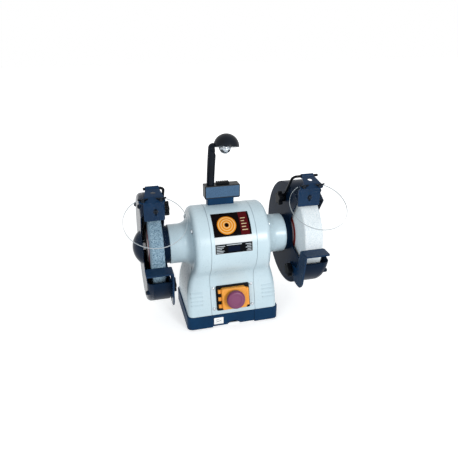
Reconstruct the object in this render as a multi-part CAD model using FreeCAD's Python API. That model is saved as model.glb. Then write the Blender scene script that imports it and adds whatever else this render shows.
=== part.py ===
import FreeCAD, Part
import math
import os

# Bench grinder with a work lamp, in millimetres. X runs along the spindle to the operator's
# right, Y points away from the operator and Z is up. The origin lies on the bench, midway
# between the four feet.

Vec = FreeCAD.Vector
X_AXIS = Vec(1, 0, 0)
Y_AXIS = Vec(0, 1, 0)
Z_AXIS = Vec(0, 0, 1)

# Overall sizes
axis_height = 180.0
wheel_diameter = 200.0
left_wheel_width = 25.0
right_wheel_width = 40.0
wheel_face = 145.0
barrel_radius = 78.0
base_width = 204.0
base_lip = 2.0
base_height = 30.0
foot_height = 3.0

# Fits between pieces
press_gap = 0.05
running_gap = 0.05
free_gap = 0.3
seat_gap = 0.2

# Base
base_wall = 3.0
base_corner = 12.0
base_edge = 1.8
base_centre_half = 47.0
base_recess = 1.5
notch_radius = 17.0
notch_height = 9.0
boss_radius = 12.0
bench_hole_radius = 3.0
bench_hole_depth = 20.0
bolt_spacing_x = 176.0
bolt_inset_y = 14.0
foot_radius = 10.0
plate_thickness = 1.5

# Motor body
shell_wall = 4.0
pedestal_inset = 7.0
front_lean = 15.0
waist_radius = 30.0
seam_x = 48.5
seam_half_gap = 0.35
lip_length = 6.0
lip_thickness = 3.0
shoulder_half = 81.0
pedestal_half = 99.0
flare_start = 30.0
flare_drop = 7.0
crest_radius = 11.0
neck_radius = 42.0
neck_sweep = 22.0
neck_wall = 6.0
neck_chamfer = 1.2
neck_end = 127.0
vent_count = 4
vent_length = 26.0
vent_width = 1.8
vent_pitch = 8.6
vent_centre_x = 79.0
vent_height = 38.0
hood_run = 3.4
hood_proud = 1.8
hood_sheet = 0.9
hood_taper = 2.0
hood_root = 3.0

# Bearings, motor and spindle
bearing_bore = 10.0
bearing_outer = 23.5
bearing_width = 14.0
bearing_shoulder = 4.0
ball_radius = 3.97
ball_count = 8
ring_height = 3.4
shaft_radius = 12.5
thread_radius = 8.0
thread_spare = 3.0
core_half = 31.0
rotor_inset = 34.0
air_gap = 0.6
slot_count = 24
slot_depth = 14.0
slot_width = 5.0
winding_length = 14.0
winding_gap = 3.0
winding_build = 8.0
tie_inset = 18.5
tie_radius = 2.5
tie_head_radius = 4.5
tie_head_height = 4.0
tie_boss = 8.0
tie_socket_radius = 2.4
tie_socket_depth = 2.0

# Wheels and their clamping
wheel_chamfer = 2.0
flange_radius = 38.0
flange_thickness = 4.0
flange_boss_radius = 14.0
blotter_radius = 46.0
blotter_thickness = 0.6
nut_across_flats = 24.0
nut_height = 13.0

# Guards
guard_clearance = 14.0
guard_sheet = 2.5
guard_plate_gap = 5.5
cover_side_gap = 11.5
cover_sheet = 2.0
cover_edge = 10.0
cover_lip = 2.0
dome_radius = 36.0
dome_height = 17.5
hub_radius = 44.0
hub_blend = 8.0
collar_outer = 40.0
collar_inner = 21.5
opening_low = -16.0
opening_high = 57.0
lug_radius = 4.0
lug_length = 18.0
cover_screw_angles = (72.0, 145.0, 215.0, 328.0)
screw_head_radius = 4.0
screw_head_height = 2.4
screw_shank_radius = 1.9
screw_length = 9.0
cross_half = 2.2
cross_width = 0.8
cross_depth = 0.9

# Spark arresters
arrester_sheet = 2.0
arrester_height = 37.0
arrester_width = 27.5
arrester_wheel_gap = 5.5
arrester_up = 4.0
arrester_down = 2.0
arrester_slot_half = 2.3

# Tool rests
rest_sheet = 3.0
rest_width = 53.0
rest_depth = 30.0
rest_gap = 2.5
rest_in = 1.0
rest_out = 12.0
rest_arm_height = 24.0
rest_stud_inset = 26.27
rest_stud_angle = -46.85

# Star knobs and their studs
stud_radius = 4.0
stud_head_radius = 7.5
stud_head_height = 2.5
knob_lobes = 5
knob_radius = 11.0
lobe_radius = 4.6
knob_height = 9.0
knob_boss_radius = 7.5
knob_boss_height = 2.0

# Eye shields
rod_radius = 2.75
rod_bend = 9.0
rod_eye_radius = 9.0
rod_eye_thickness = 5.6
rod_stud_inset = 35.36
rod_stud_angle = 97.3
rod_y = -38.0
rod_over_guard = 26.0
sleeve_wall = 2.0
bracket_sheet = 2.0
bracket_top_width = 26.0
bracket_low_width = 36.0
bracket_reach = 30.0
bracket_drop = 17.0
bracket_hole = 5.0
bracket_shift = 4.5
wing_width = 50.0
wing_depth = 13.0
shield_drop = 31.5
shield_radius = 58.5
shield_thickness = 3.0
shield_top = 51.0
shield_setback = 4.0
shield_inset = 23.7
shield_screw_half = 17.0
shield_screw_radius = 5.0
shield_chamfer = 0.4

# Switch, set on the leaning front of the body
switch_rise = 35.0
bezel_width = 74.0
bezel_height = 55.0
bezel_thickness = 3.0
bezel_round = 1.0
switch_width = 50.0
switch_tall = 40.0
switch_deep = 30.0
panel_screw_u = 42.5
panel_screw_v = 23.0
button_width = 15.0
button_tall = 26.0
button_proud = 3.0
button_travel = 4.0
button_round = 0.8
start_u = -14.5
stop_u = 2.5
flap_left = -27.0
flap_right = 33.0
flap_half = 23.0
flap_base = 4.0
flap_height = 13.0
flap_wall = 2.0
hinge_u = -30.5
hinge_rise = 6.6
hinge_pin_radius = 1.5
knuckle_radius = 3.2
knuckle_length = 8.0
knuckle_pitch = 16.0
mushroom_u = 0.0
mushroom_radius = 19.8
mushroom_height = 12.0
stem_radius = 5.0

# Lamp on top of the body
lamp_box_left = -43.5
lamp_box_width = 76.0
lamp_box_front = 2.0
lamp_box_depth = 25.0
lamp_box_height = 27.0
lamp_box_wall = 2.0
lamp_rise = 15.0
saddle_inset = 6.0
saddle_width = 57.0
saddle_corner = 4.0
lid_thickness = 2.0
lid_corner = 2.0
stalk_x = -29.2
stalk_lean = 5.0
stalk_base_radius = 8.2
stalk_top_radius = 8.7
swivel_radius = 5.0
swivel_length = 9.0
arm_head_radius = 10.8
arm_head_drop = 1.5
shade_gap = 1.2
shade_radius = 27.0
shade_wall = 1.6
shade_x = 5.5
shade_rise = 79.0
shade_tilt = 17.0
shade_turn = 14.0
arch_turn = 30.0
shade_skirt = 1.0
shade_arch = 13.5
shade_arch_drop = 5.0
bulb_radius = 10.5
bulb_forward = 8.5
socket_radius = 7.5
pivot_radius = 2.5
pivot_length = 6.0
pivot_lift = 4.0
slider_length = 27.0
slider_depth = 13.0
slider_height = 5.0
slider_ribs = 5
slider_x = -3.0
slider_travel = 4.0
slider_stem = 6.0

# Labels and small electrics
label_left = -41.0
label_width = 79.0
label_thickness = 0.4
front_label_angles = (27.0, 66.0)
rating_plate_angles = (1.0, 16.5)
capacitor_radius = 17.5
capacitor_length = 70.0
clip_sheet = 1.2
gland_radius = 9.0
gland_length = 14.0
gland_bore = 4.5
terminal_size = (34.0, 18.0, 16.0)

# Places worked out from the sizes above
wheel_radius = wheel_diameter / 2
body_half_depth = barrel_radius - pedestal_inset
base_depth = 2 * (body_half_depth + base_lip)
bolt_spacing_y = base_depth - 2 * bolt_inset_y
base_bottom = foot_height
base_top = foot_height + base_height
guard_radius = wheel_radius + guard_clearance
guard_plate_out = wheel_face - guard_plate_gap
guard_plate_in = guard_plate_out - guard_sheet
bearing_end = neck_end - 5.0
bearing_start = bearing_end - bearing_width
bearing_mid = (bearing_start + bearing_end) / 2
bearing_pitch = (bearing_bore + bearing_outer) / 2
barrel_top = axis_height + barrel_radius
flare_height = axis_height - flare_drop - base_top - flare_start
rotor_radius = barrel_radius - rotor_inset
winding_inner = rotor_radius + winding_gap
winding_outer = winding_inner + winding_build
tie_circle = barrel_radius - tie_inset
lamp_base_z = barrel_top + lamp_rise
lamp_top_z = lamp_base_z + lamp_box_height
lamp_y = lamp_box_front + lamp_box_depth / 2
rod_z = axis_height + guard_radius + rod_over_guard
rest_front = -(wheel_radius + rest_gap + rest_depth)
rest_leg_out = guard_plate_in - 0.6
rest_leg_in = rest_leg_out - rest_sheet
arrester_y = -(guard_radius * math.cos(math.radians(opening_high)) + 2.2)
shield_middle = guard_plate_in + shield_inset
arrester_z = axis_height + math.sqrt((wheel_radius + arrester_wheel_gap) ** 2 - arrester_y ** 2)


def cover_face(width):
    """X of the outer face of the cover over a wheel of this width."""
    return wheel_face + width + cover_side_gap + cover_sheet


def box(x0, x1, y0, y1, z0, z1):
    """Box between two corners."""
    return Part.makeBox(x1 - x0, y1 - y0, z1 - z0, Vec(x0, y0, z0))


def rod_x(radius, x0, x1, y=0.0, z=axis_height):
    """Cylinder along X."""
    return Part.makeCylinder(radius, x1 - x0, Vec(x0, y, z), X_AXIS)


def ring_x(outer, inner, x0, x1, y=0.0, z=axis_height):
    """Tube along X."""
    return rod_x(outer, x0, x1, y, z).cut(rod_x(inner, x0 - 1, x1 + 1, y, z))


def rod_z_axis(radius, z0, z1, x=0.0, y=0.0):
    """Cylinder along Z."""
    return Part.makeCylinder(radius, z1 - z0, Vec(x, y, z0), Z_AXIS)


def prism_x(points, x0, x1):
    """Polygon of (y, z) points drawn out along X."""
    corners = [Vec(x0, y, z) for y, z in points]
    face = Part.Face(Part.makePolygon(corners + corners[:1]))
    return face.extrude(Vec(x1 - x0, 0, 0))


def turned(points, z=axis_height, y=0.0):
    """Polygon of (x, radius) points turned about the spindle line."""
    corners = [Vec(x, y, z + r) for x, r in points]
    face = Part.Face(Part.makePolygon(corners + corners[:1]))
    return face.revolve(Vec(0, y, z), X_AXIS, 360)


def joined(shapes):
    """Single solid made of overlapping shapes."""
    return shapes[0].multiFuse(shapes[1:]).removeSplitter()


def rounded_block(x0, x1, y0, y1, z0, z1, radius):
    """Box with its four upright edges rounded."""
    block = box(x0, x1, y0, y1, z0, z1)
    upright = [e for e in block.Edges if abs(e.tangentAt(e.FirstParameter).z) > 0.9]
    return block.makeFillet(radius, upright)


def to_side(shape, side):
    """The shape as built for the right, or its mirror image for the left."""
    if side > 0:
        return shape
    return shape.mirror(Vec(0, 0, 0), X_AXIS)


def polar(radius, degrees):
    """(y, z) at an angle about the spindle, counted upwards from the operator's side."""
    angle = math.radians(degrees)
    return -radius * math.cos(angle), axis_height + radius * math.sin(angle)


rod_stud_y, rod_stud_z = polar(guard_radius - rod_stud_inset, rod_stud_angle)
rest_stud_y, rest_stud_z = polar(guard_radius - rest_stud_inset, rest_stud_angle)


def export(node, *shapes):
    """Writes one node, as a group where it has several solids."""
    shape = shapes[0] if len(shapes) == 1 else Part.makeCompound(list(shapes))
    shape.exportStep("parts/" + node + ".step")


def side_profile(inset, bottom):
    """Face in the YZ plane: round barrel, drawn-in waist and leaning pedestal front and back."""
    lean = math.radians(front_lean)
    along = (math.sin(lean), math.cos(lean))
    out = (-math.cos(lean), math.sin(lean))
    foot = (-body_half_depth, base_top)
    start = (foot[0] + out[0] * waist_radius, foot[1] + out[1] * waist_radius - axis_height)
    reach = along[0] * start[0] + along[1] * start[1]
    gap = start[0] ** 2 + start[1] ** 2 - (barrel_radius + waist_radius) ** 2
    step = -reach - math.sqrt(reach ** 2 - gap)
    centre = (start[0] + along[0] * step, start[1] + along[1] * step + axis_height)
    bend = waist_radius + inset
    low = (centre[0] - out[0] * bend, centre[1] - out[1] * bend)
    share = (barrel_radius - inset) / (barrel_radius + waist_radius)
    high = (centre[0] * share, axis_height + (centre[1] - axis_height) * share)
    down = (bottom - low[1]) / along[1]
    toe = (low[0] + along[0] * down, bottom)
    middle = (centre[0] + bend * math.cos(math.radians(front_lean) / 2), centre[1])
    waist = Part.Arc(Vec(0, *low), Vec(0, *middle), Vec(0, *high)).toShape()
    top = Vec(0, 0, axis_height + barrel_radius - inset)
    barrel = Part.Arc(Vec(0, *high), top, Vec(0, -high[0], high[1])).toShape()
    front = Part.makeLine(Vec(0, *toe), Vec(0, *low))
    sole = Part.makeLine(Vec(0, -toe[0], toe[1]), Vec(0, *toe))
    rear = [edge.mirror(Vec(0, 0, 0), Y_AXIS) for edge in (waist, front)]
    edges = Part.__sortEdges__([front, waist, barrel, rear[0], rear[1], sole])
    return Part.Face(Part.Wire(edges))


def side_body(inset, x0, x1, bottom=base_top):
    """The side profile drawn out along X."""
    face = side_profile(inset, bottom)
    face.translate(Vec(x0, 0, 0))
    return face.extrude(Vec(x1 - x0, 0, 0))


def flank_body(inset):
    """Half of the body seen from the front, drawn out along Y: upright barrel end and flared foot."""
    spread = pedestal_half - shoulder_half
    sweep = (spread ** 2 + flare_height ** 2) / (4 * spread)
    low_z = base_top + flare_start
    high_z = low_z + flare_height
    half_turn = math.asin(flare_height / 2 / sweep) / 2
    convex = Vec(pedestal_half - sweep, 0, low_z)
    hollow = Vec(shoulder_half + sweep, 0, high_z)
    outer = sweep - inset
    inner = sweep + inset

    def on(centre, radius, angle):
        return centre + Vec(math.cos(angle), 0, math.sin(angle)) * radius

    turn = 2 * half_turn
    lower = Part.Arc(on(convex, outer, 0), on(convex, outer, half_turn), on(convex, outer, turn))
    upper_start = on(hollow, inner, math.pi + turn)
    upper = Part.Arc(upper_start, on(hollow, inner, math.pi + half_turn), on(hollow, inner, math.pi))
    ceiling = barrel_top + 20.0
    corners = [
        on(hollow, inner, math.pi),
        Vec(shoulder_half - inset, 0, ceiling),
        Vec(0, 0, ceiling),
        Vec(0, 0, base_bottom),
        Vec(pedestal_half - inset, 0, base_bottom),
        on(convex, outer, 0),
    ]
    lines = [Part.makeLine(a, b) for a, b in zip(corners, corners[1:])]
    wire = Part.Wire(Part.__sortEdges__([lower.toShape(), upper.toShape()] + lines))
    face = Part.Face(wire)
    face.translate(Vec(0, -base_depth, 0))
    return face.extrude(Vec(0, 2 * base_depth, 0))


def on_front(shape):
    """Moves a shape from the switch's own frame (u, v, out) to the leaning front of the body."""
    lean = math.radians(front_lean)
    y = -body_half_depth + math.tan(lean) * switch_rise
    shape = shape.copy()
    shape.rotate(Vec(0, 0, 0), X_AXIS, 90 - front_lean)
    shape.translate(Vec(0, y, base_top + switch_rise))
    return shape


def pan_screw(length=screw_length, radius=screw_head_radius):
    """Pan-head screw along -Z with its seat at the origin."""
    head = Part.makeCylinder(radius, screw_head_height)
    rim = [e for e in head.Edges if e.BoundBox.ZMin > screw_head_height / 2]
    head = head.makeFillet(screw_head_height * 0.6, rim[:1])
    half = cross_width / 2
    floor = screw_head_height - cross_depth
    recess = box(-cross_half, cross_half, -half, half, floor, screw_head_height + 1)
    cross = recess.copy()
    cross.rotate(Vec(0, 0, 0), Z_AXIS, 90)
    shank = Part.makeCylinder(screw_shank_radius, length, Vec(0, 0, -length))
    return head.cut(recess).cut(cross).fuse(shank)


def pointed(shape, direction, place):
    """Turns a shape built along +Z to a direction and moves it to its place."""
    shape = shape.copy()
    shape.Placement = FreeCAD.Placement(place, FreeCAD.Rotation(Z_AXIS, direction))
    return shape


def bench_points():
    """(x, y) of the four bench bolts and feet."""
    return [(sx * bolt_spacing_x / 2, sy * bolt_spacing_y / 2) for sx in (-1, 1) for sy in (-1, 1)]


def base_tray():
    """Moulded foot of the machine, open below, with bosses for the bench bolts."""
    half_x = base_width / 2
    half_y = base_depth / 2
    inner_top = base_top - base_wall
    tray = rounded_block(-half_x, half_x, -half_y, half_y, base_bottom, base_top, base_corner)
    tray = tray.makeFillet(base_edge, [e for e in tray.Edges if e.BoundBox.ZMin > base_top - 0.01])
    room = rounded_block(-half_x + base_wall, half_x - base_wall, -half_y + base_wall,
                         half_y - base_wall, base_bottom - 1, inner_top, base_corner - base_wall)
    well_y = body_half_depth - shell_wall - 12.0
    tray = tray.cut(room).cut(box(-70, 70, -well_y, well_y, inner_top - 1, base_top + 1))
    bosses = [rod_z_axis(boss_radius, base_bottom, inner_top + 1, x, y) for x, y in bench_points()]
    tray = tray.multiFuse(bosses)
    for x, y in bench_points():
        tray = tray.cut(rod_z_axis(bench_hole_radius, 0, base_bottom + bench_hole_depth, x, y))
    centre = base_centre_half
    face = box(-centre, centre, -half_y - 1, -half_y + base_recess, base_bottom - 1, base_top - 2)
    sole = box(-centre, centre, -half_y - 1, -half_y + base_wall + 1, base_bottom - 1,
               base_bottom + base_recess)
    arch = Part.makeCylinder(notch_radius, base_wall + 3, Vec(0, -half_y - 1, 0), Y_AXIS)
    arch.translate(Vec(0, 0, base_bottom + notch_height - notch_radius))
    gland = Part.makeCylinder(gland_radius - 3, 2 * base_wall, Vec(0, half_y - base_wall * 1.5, 0), Y_AXIS)
    gland.translate(Vec(pedestal_half / 2, 0, base_bottom + base_height / 2))
    return tray.cut(face).cut(sole).cut(arch).cut(gland).removeSplitter()


def base_plate():
    """Sheet-steel floor that closes the base between the bosses."""
    half_x = base_width / 2 - base_wall - seat_gap
    half_y = base_depth / 2 - base_wall - seat_gap - base_recess
    low = base_bottom + 2.0
    high = low + plate_thickness
    plate = rounded_block(-half_x, half_x, -half_y, half_y, low, high, base_corner - base_wall)
    for x, y in bench_points():
        plate = plate.cut(rod_z_axis(boss_radius + seat_gap, low - 1, low + plate_thickness + 1, x, y))
    slots = [box(-30 + 15 * i, -24 + 15 * i, -25, 25, low - 1, low + 3) for i in range(5)]
    return plate.cut(Part.makeCompound(slots))


def rubber_foot(x, y):
    """Ring-shaped rubber foot under a boss."""
    foot = rod_z_axis(foot_radius, 0, foot_height, x, y)
    return foot.cut(rod_z_axis(bench_hole_radius, -1, foot_height + 1, x, y))


def motor_shell():
    """Middle band of the body with its spigots, switch window and lamp wire hole."""
    edge = seam_x - seam_half_gap
    shell = side_body(0, -edge, edge).cut(side_body(shell_wall, -edge - 1, edge + 1, base_bottom))
    lips = []
    for side in (-1, 1):
        root = side_body(shell_wall - 0.5, edge - lip_length, edge)
        root = root.cut(side_body(shell_wall + lip_thickness, edge - lip_length - 1, edge + 1, base_bottom))
        tongue = side_body(shell_wall + seat_gap, edge - 1, edge + lip_length)
        tongue = tongue.cut(side_body(shell_wall + lip_thickness, 0, edge + lip_length + 1, base_bottom))
        lips += [to_side(root, side), to_side(tongue, side)]
    shell = shell.multiFuse(lips)
    half_u = switch_width / 2 + seat_gap
    half_v = switch_tall / 2 + seat_gap
    window = on_front(box(-half_u, half_u, -half_v, half_v, -40, 5))
    wire = rod_z_axis(4, barrel_top - 3 * shell_wall, barrel_top + 2, 0, lamp_y)
    shell = shell.cut(window).cut(wire)
    for u in (-panel_screw_u, panel_screw_u):
        for v in (-panel_screw_v, panel_screw_v):
            hole = Part.makeCylinder(screw_shank_radius + press_gap, 16, Vec(u, v, -14))
            shell = shell.cut(on_front(hole))
    return shell.removeSplitter()


def crest_edges(shape):
    """Edges where the end of the body turns into its front, top and back."""
    found = []
    for edge in shape.Edges:
        room = edge.BoundBox
        along_y = room.XLength < 0.01 and room.ZLength < 0.01
        if room.XMin > shoulder_half - 0.5 and room.ZMax > base_top + 1 and not along_y:
            found.append(edge)
    return found


def neck_profile():
    """Face of the flared neck, in x and radius, to be turned about the spindle."""
    z = axis_height
    centre = Vec(shoulder_half + neck_sweep, 0, z + neck_radius + neck_sweep)
    middle = centre + Vec(-1, 0, -1) * (neck_sweep / math.sqrt(2))
    a = Vec(shoulder_half + neck_sweep, 0, z + neck_radius)
    b = Vec(shoulder_half, 0, z + neck_radius + neck_sweep)
    rim = z + neck_radius
    corners = [b, Vec(shoulder_half - 2, 0, b.z), Vec(shoulder_half - 2, 0, z), Vec(neck_end, 0, z),
               Vec(neck_end, 0, rim - neck_chamfer), Vec(neck_end - neck_chamfer, 0, rim), a]
    lines = [Part.makeLine(p, q) for p, q in zip(corners, corners[1:])]
    sweep = Part.Arc(a, middle, b).toShape()
    return Part.Face(Part.Wire(Part.__sortEdges__(lines + [sweep])))


def tie_points():
    """(y, z) of the four long bolts that hold the end shells on."""
    return [polar(tie_circle, a) for a in (45, 135, 225, 315)]


def vent_places():
    """Places of the louvres up the leaning front, counted from the middle of the switch."""
    lean = math.radians(front_lean)
    first = vent_height - switch_rise - vent_pitch * (vent_count - 1) / 2
    return [(first + vent_pitch * i) / math.cos(lean) for i in range(vent_count)]


def vent_prism(points):
    """Outline of (v, out) points drawn out over the length of a louvre, on the front of the body."""
    start = vent_centre_x - vent_length / 2
    corners = [Vec(start, v, out) for v, out in points]
    face = Part.Face(Part.makePolygon(corners + corners[:1]))
    return face.extrude(Vec(vent_length, 0, 0))


def vent_hood(v):
    """Louvre's hood: it rises outwards on its way down and has sloping ends."""
    low = v - vent_width * 0.7
    high = low + hood_run + hood_root * hood_run / hood_proud
    hood = vent_prism([(high, -hood_root), (low, hood_proud), (low, -hood_root)])
    a = vent_centre_x - vent_length / 2
    b = vent_centre_x + vent_length / 2
    outline = [(a, -hood_root), (a, 0), (a + hood_taper, hood_proud), (b - hood_taper, hood_proud), (b, 0),
               (b, -hood_root)]
    corners = [Vec(u, low - 1, out) for u, out in outline]
    ends = Part.Face(Part.makePolygon(corners + corners[:1])).extrude(Vec(0, high - low + 2, 0))
    return on_front(hood.common(ends))


def vent_slot(v):
    """Slot under a louvre's hood, open downwards, through the wall of the body."""
    low = v - vent_width * 0.7
    mouth = hood_proud - hood_sheet
    back = mouth - vent_width * hood_proud / hood_run
    far = -4 * shell_wall
    return on_front(vent_prism([(low - 0.1, mouth), (low + vent_width, back), (low + vent_width, far),
                                (low - 0.1, far)]))


def end_shell():
    """Right end casting: rounded shoulder, flared neck, bearing seat, bolt bosses and vents."""
    start = seam_x + seam_half_gap
    outside = side_body(0, start, pedestal_half + 5).common(flank_body(0))
    outside = outside.makeFillet(crest_radius, crest_edges(outside))
    neck = neck_profile().revolve(Vec(0, 0, axis_height), X_AXIS, 360)
    hull = outside.fuse(neck)
    room = side_body(shell_wall, start - 1, pedestal_half + 5, base_bottom).common(flank_body(shell_wall))
    shell = hull.cut(room)
    inside = shoulder_half - shell_wall
    seat = bearing_start - bearing_shoulder
    shell = shell.cut(rod_x(neck_radius - neck_wall, inside - 5, seat))
    bosses = []
    for y, z in tie_points():
        bosses.append(rod_x(tie_boss, inside - 8, inside + 12, y, z).common(hull))
    shell = shell.multiFuse(bosses).cut(rod_x(neck_radius - neck_wall, inside - 9, seat))
    shell = shell.cut(rod_x(bearing_outer - ring_height, seat - 1, bearing_start))
    shell = shell.cut(rod_x(bearing_outer, bearing_start, neck_end + 1))
    for y, z in tie_points():
        shell = shell.cut(rod_x(tie_radius + press_gap, inside - 10, neck_end, y, z))
        shell = shell.cut(rod_x(tie_head_radius + 1, shoulder_half - 1, neck_end, y, z))
    shell = shell.multiFuse([vent_hood(v) for v in vent_places()])
    for v in vent_places():
        shell = shell.cut(vent_slot(v))
    return shell.removeSplitter()


def tie_bolt(y, z):
    """Long bolt right through the motor, with a head at the left and a nut at the right."""
    seat = shoulder_half - 1
    shank = rod_x(tie_radius, -seat, seat, y, z)
    ends = [rod_x(tie_head_radius, -seat - tie_head_height, -seat, y, z)]
    ends.append(rod_x(tie_head_radius, seat, seat + tie_head_height, y, z))
    bolt = shank.multiFuse(ends)
    end = seat + tie_head_height
    corners = [(y + tie_socket_radius * math.cos(math.radians(60 * i)),
                z + tie_socket_radius * math.sin(math.radians(60 * i))) for i in range(6)]
    socket = prism_x(corners, end - tie_socket_depth, end + 1)
    return bolt.cut(socket).cut(to_side(socket, -1))


def stator_core():
    """Laminated ring with slots for the windings and holes for the long bolts."""
    bore = rotor_radius + air_gap
    core = ring_x(barrel_radius - shell_wall - lip_thickness - seat_gap, bore, -core_half, core_half)
    for i in range(slot_count):
        half = slot_width / 2
        slot = box(-core_half - 1, core_half + 1, -half, half, bore - 2, bore + slot_depth)
        slot.rotate(Vec(0, 0, 0), X_AXIS, 360.0 * i / slot_count)
        slot.translate(Vec(0, 0, axis_height))
        core = core.cut(slot)
    pads = []
    for angle in (0, 90, 180, 270):
        reach = barrel_radius - shell_wall - seat_gap
        pad = box(-core_half, core_half, -9, 9, reach - lip_thickness - 4, reach - 0.6)
        pad.rotate(Vec(0, 0, 0), X_AXIS, 45 + angle)
        pad.translate(Vec(0, 0, axis_height))
        pads.append(pad)
    core = core.multiFuse(pads)
    for y, z in tie_points():
        core = core.cut(rod_x(tie_radius + seat_gap, -core_half - 1, core_half + 1, y, z))
    return core.removeSplitter()


def winding(side):
    """Bundle of end turns that stands out of one end of the laminations."""
    start = core_half
    ring = ring_x(winding_outer, winding_inner, start, start + winding_length)
    return to_side(ring, side)


def bearing_ring(outer, inner, groove_gap):
    """One ring of a ball bearing with its ball groove."""
    ring = ring_x(outer, inner, bearing_start, bearing_end)
    centre = Vec(bearing_mid, 0, axis_height)
    groove = Part.makeTorus(bearing_pitch, ball_radius + groove_gap, centre, X_AXIS)
    return ring.cut(groove)


def ball_cage():
    """Balls of one bearing held in a ring-shaped cage."""
    cage = ring_x(bearing_pitch + 1.2, bearing_pitch - 1.2, bearing_mid - 5, bearing_mid + 5)
    balls = []
    for i in range(ball_count):
        y, z = polar(bearing_pitch, 360.0 * i / ball_count)
        balls.append(Part.makeSphere(ball_radius, Vec(bearing_mid, y, z)))
    return cage.multiFuse(balls)


def clamp_stack(width):
    """X of the outer blotter, outer flange, nut and shaft end beyond a wheel of this width."""
    blotter = wheel_face + width
    flange = blotter + blotter_thickness
    nut = flange + flange_thickness
    return blotter, flange, nut, nut + nut_height + thread_spare


def shaft():
    """Stepped spindle with a threaded end at each wheel."""
    left_flange = clamp_stack(left_wheel_width)[1]
    left_end = clamp_stack(left_wheel_width)[3]
    right_flange = clamp_stack(right_wheel_width)[1]
    right_end = clamp_stack(right_wheel_width)[3]
    step = bearing_start
    outline = [(-left_end, 0), (-left_end, thread_radius - 1), (-left_end + 1, thread_radius)]
    outline += [(-left_flange + 1, thread_radius), (-left_flange + 1, bearing_bore)]
    outline += [(-step, bearing_bore), (-step, shaft_radius), (step, shaft_radius), (step, bearing_bore)]
    outline += [(right_flange - 1, bearing_bore), (right_flange - 1, thread_radius)]
    outline += [(right_end - 1, thread_radius), (right_end, thread_radius - 1), (right_end, 0)]
    return turned(outline)


def grinding_wheel(width):
    """Straight wheel with small chamfers."""
    a = wheel_face
    b = wheel_face + width
    c = wheel_chamfer
    bore = bearing_bore + press_gap
    return turned([(a, bore), (b, bore), (b, wheel_radius - c), (b - c, wheel_radius),
                   (a + c, wheel_radius), (a, wheel_radius - c)])


def inner_flange():
    """Clamping flange with a boss that runs back to the bearing."""
    bore = bearing_bore + press_gap
    face = wheel_face - blotter_thickness
    back = face - flange_thickness
    return turned([(bearing_end, bore), (face, bore), (face, flange_radius), (back, flange_radius),
                   (back, flange_boss_radius), (bearing_end, flange_boss_radius - 1)])


def outer_flange(width):
    """Clamping flange under the nut."""
    start = clamp_stack(width)[1]
    end = clamp_stack(width)[2]
    bore = thread_radius + press_gap
    return turned([(start, bore), (end, bore), (end, flange_radius - 8), (end - 2, flange_radius),
                   (start, flange_radius)])


def blotter(x0):
    """Paper disc between a wheel and its flange."""
    return ring_x(blotter_radius, bearing_bore + press_gap, x0, x0 + blotter_thickness)


def wheel_nut(width):
    """Hexagon nut on the threaded end."""
    start = clamp_stack(width)[2]
    corner = nut_across_flats / 2 / math.cos(math.radians(30))
    points = [polar(corner, 60 * i) for i in range(6)]
    nut = prism_x(points, start, start + nut_height)
    return nut.cut(rod_x(thread_radius + press_gap, start - 1, start + nut_height + 1))


def guard_disc(x0, x1, radius):
    """Side of a guard: a disc with its front cut away around the hub."""
    disc = rod_x(radius, x0, x1)
    wedge = opening_wedge(x0 - 1, x1 + 1)
    cut = disc.cut(wedge).fuse(rod_x(hub_radius, x0, x1)).removeSplitter()
    corners = []
    for edge in cut.Edges:
        room = edge.BoundBox
        straight = room.YLength < 0.01 and room.ZLength < 0.01
        reach = math.hypot(room.YMin, room.ZMin - axis_height)
        if straight and abs(reach - hub_radius) < 1 and room.YMin < 0:
            corners.append(edge)
    return cut.makeFillet(hub_blend, corners)


def opening_wedge(x0, x1):
    """The open sector at the front of a guard."""
    far = 3 * guard_radius
    points = [(0, axis_height), polar(far, opening_low), polar(far, (opening_low + opening_high) / 2)]
    points.append(polar(far, opening_high))
    return prism_x(points, x0, x1)


def cover_screw_places():
    """(y, z) of the cover screws, in the room between wheel and guard rim."""
    radius = guard_radius - guard_sheet - lug_radius * 0.6
    return [polar(radius, a) for a in cover_screw_angles]


def guard(width):
    """Guard body: side plate with its collar, rim band, screw lugs and the arrester's flange."""
    rim_end = cover_face(width) - cover_edge - cover_lip
    plate = guard_disc(guard_plate_in, guard_plate_out, guard_radius)
    band = ring_x(guard_radius, guard_radius - guard_sheet, guard_plate_in, rim_end)
    band = band.cut(opening_wedge(guard_plate_in - 1, rim_end + 1))
    collar = rod_x(collar_outer, neck_end, guard_plate_in + 1)
    spigot = rod_x(bearing_outer - press_gap, bearing_end, neck_end + 1)
    lugs = [rod_x(lug_radius, rim_end - lug_length, rim_end, y, z) for y, z in cover_screw_places()]
    y0 = arrester_y + 0.2
    rim_z = axis_height + guard_radius * math.sin(math.radians(opening_high))
    flange = box(guard_plate_in, rim_end, y0, y0 + guard_sheet, rim_z - 4, arrester_z + arrester_height - 4)
    flange = flange.cut(rod_x(guard_radius - guard_sheet, guard_plate_in - 1, rim_end + 1))
    body = joined([plate, band, collar, spigot, flange] + lugs)
    body = body.cut(rod_x(collar_inner, bearing_end - 1, guard_plate_out + 1))
    for y, z in cover_screw_places():
        body = body.cut(rod_x(screw_shank_radius + press_gap, rim_end - lug_length + 2, rim_end + 1, y, z))
    for y, z in stud_places():
        body = body.cut(rod_x(stud_radius + press_gap, guard_plate_in - 1, guard_plate_out + 1, y, z))
    body = body.cut(arrester_screw_hole(width))
    return body


def stud_places():
    """(y, z) of the shield stud and the rest stud on a guard's side plate."""
    return [(rod_stud_y, rod_stud_z), (rest_stud_y, rest_stud_z)]


def guard_middle(width):
    """X of the middle of a guard's rim."""
    return (guard_plate_in + cover_face(width) - cover_edge - cover_lip) / 2


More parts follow.
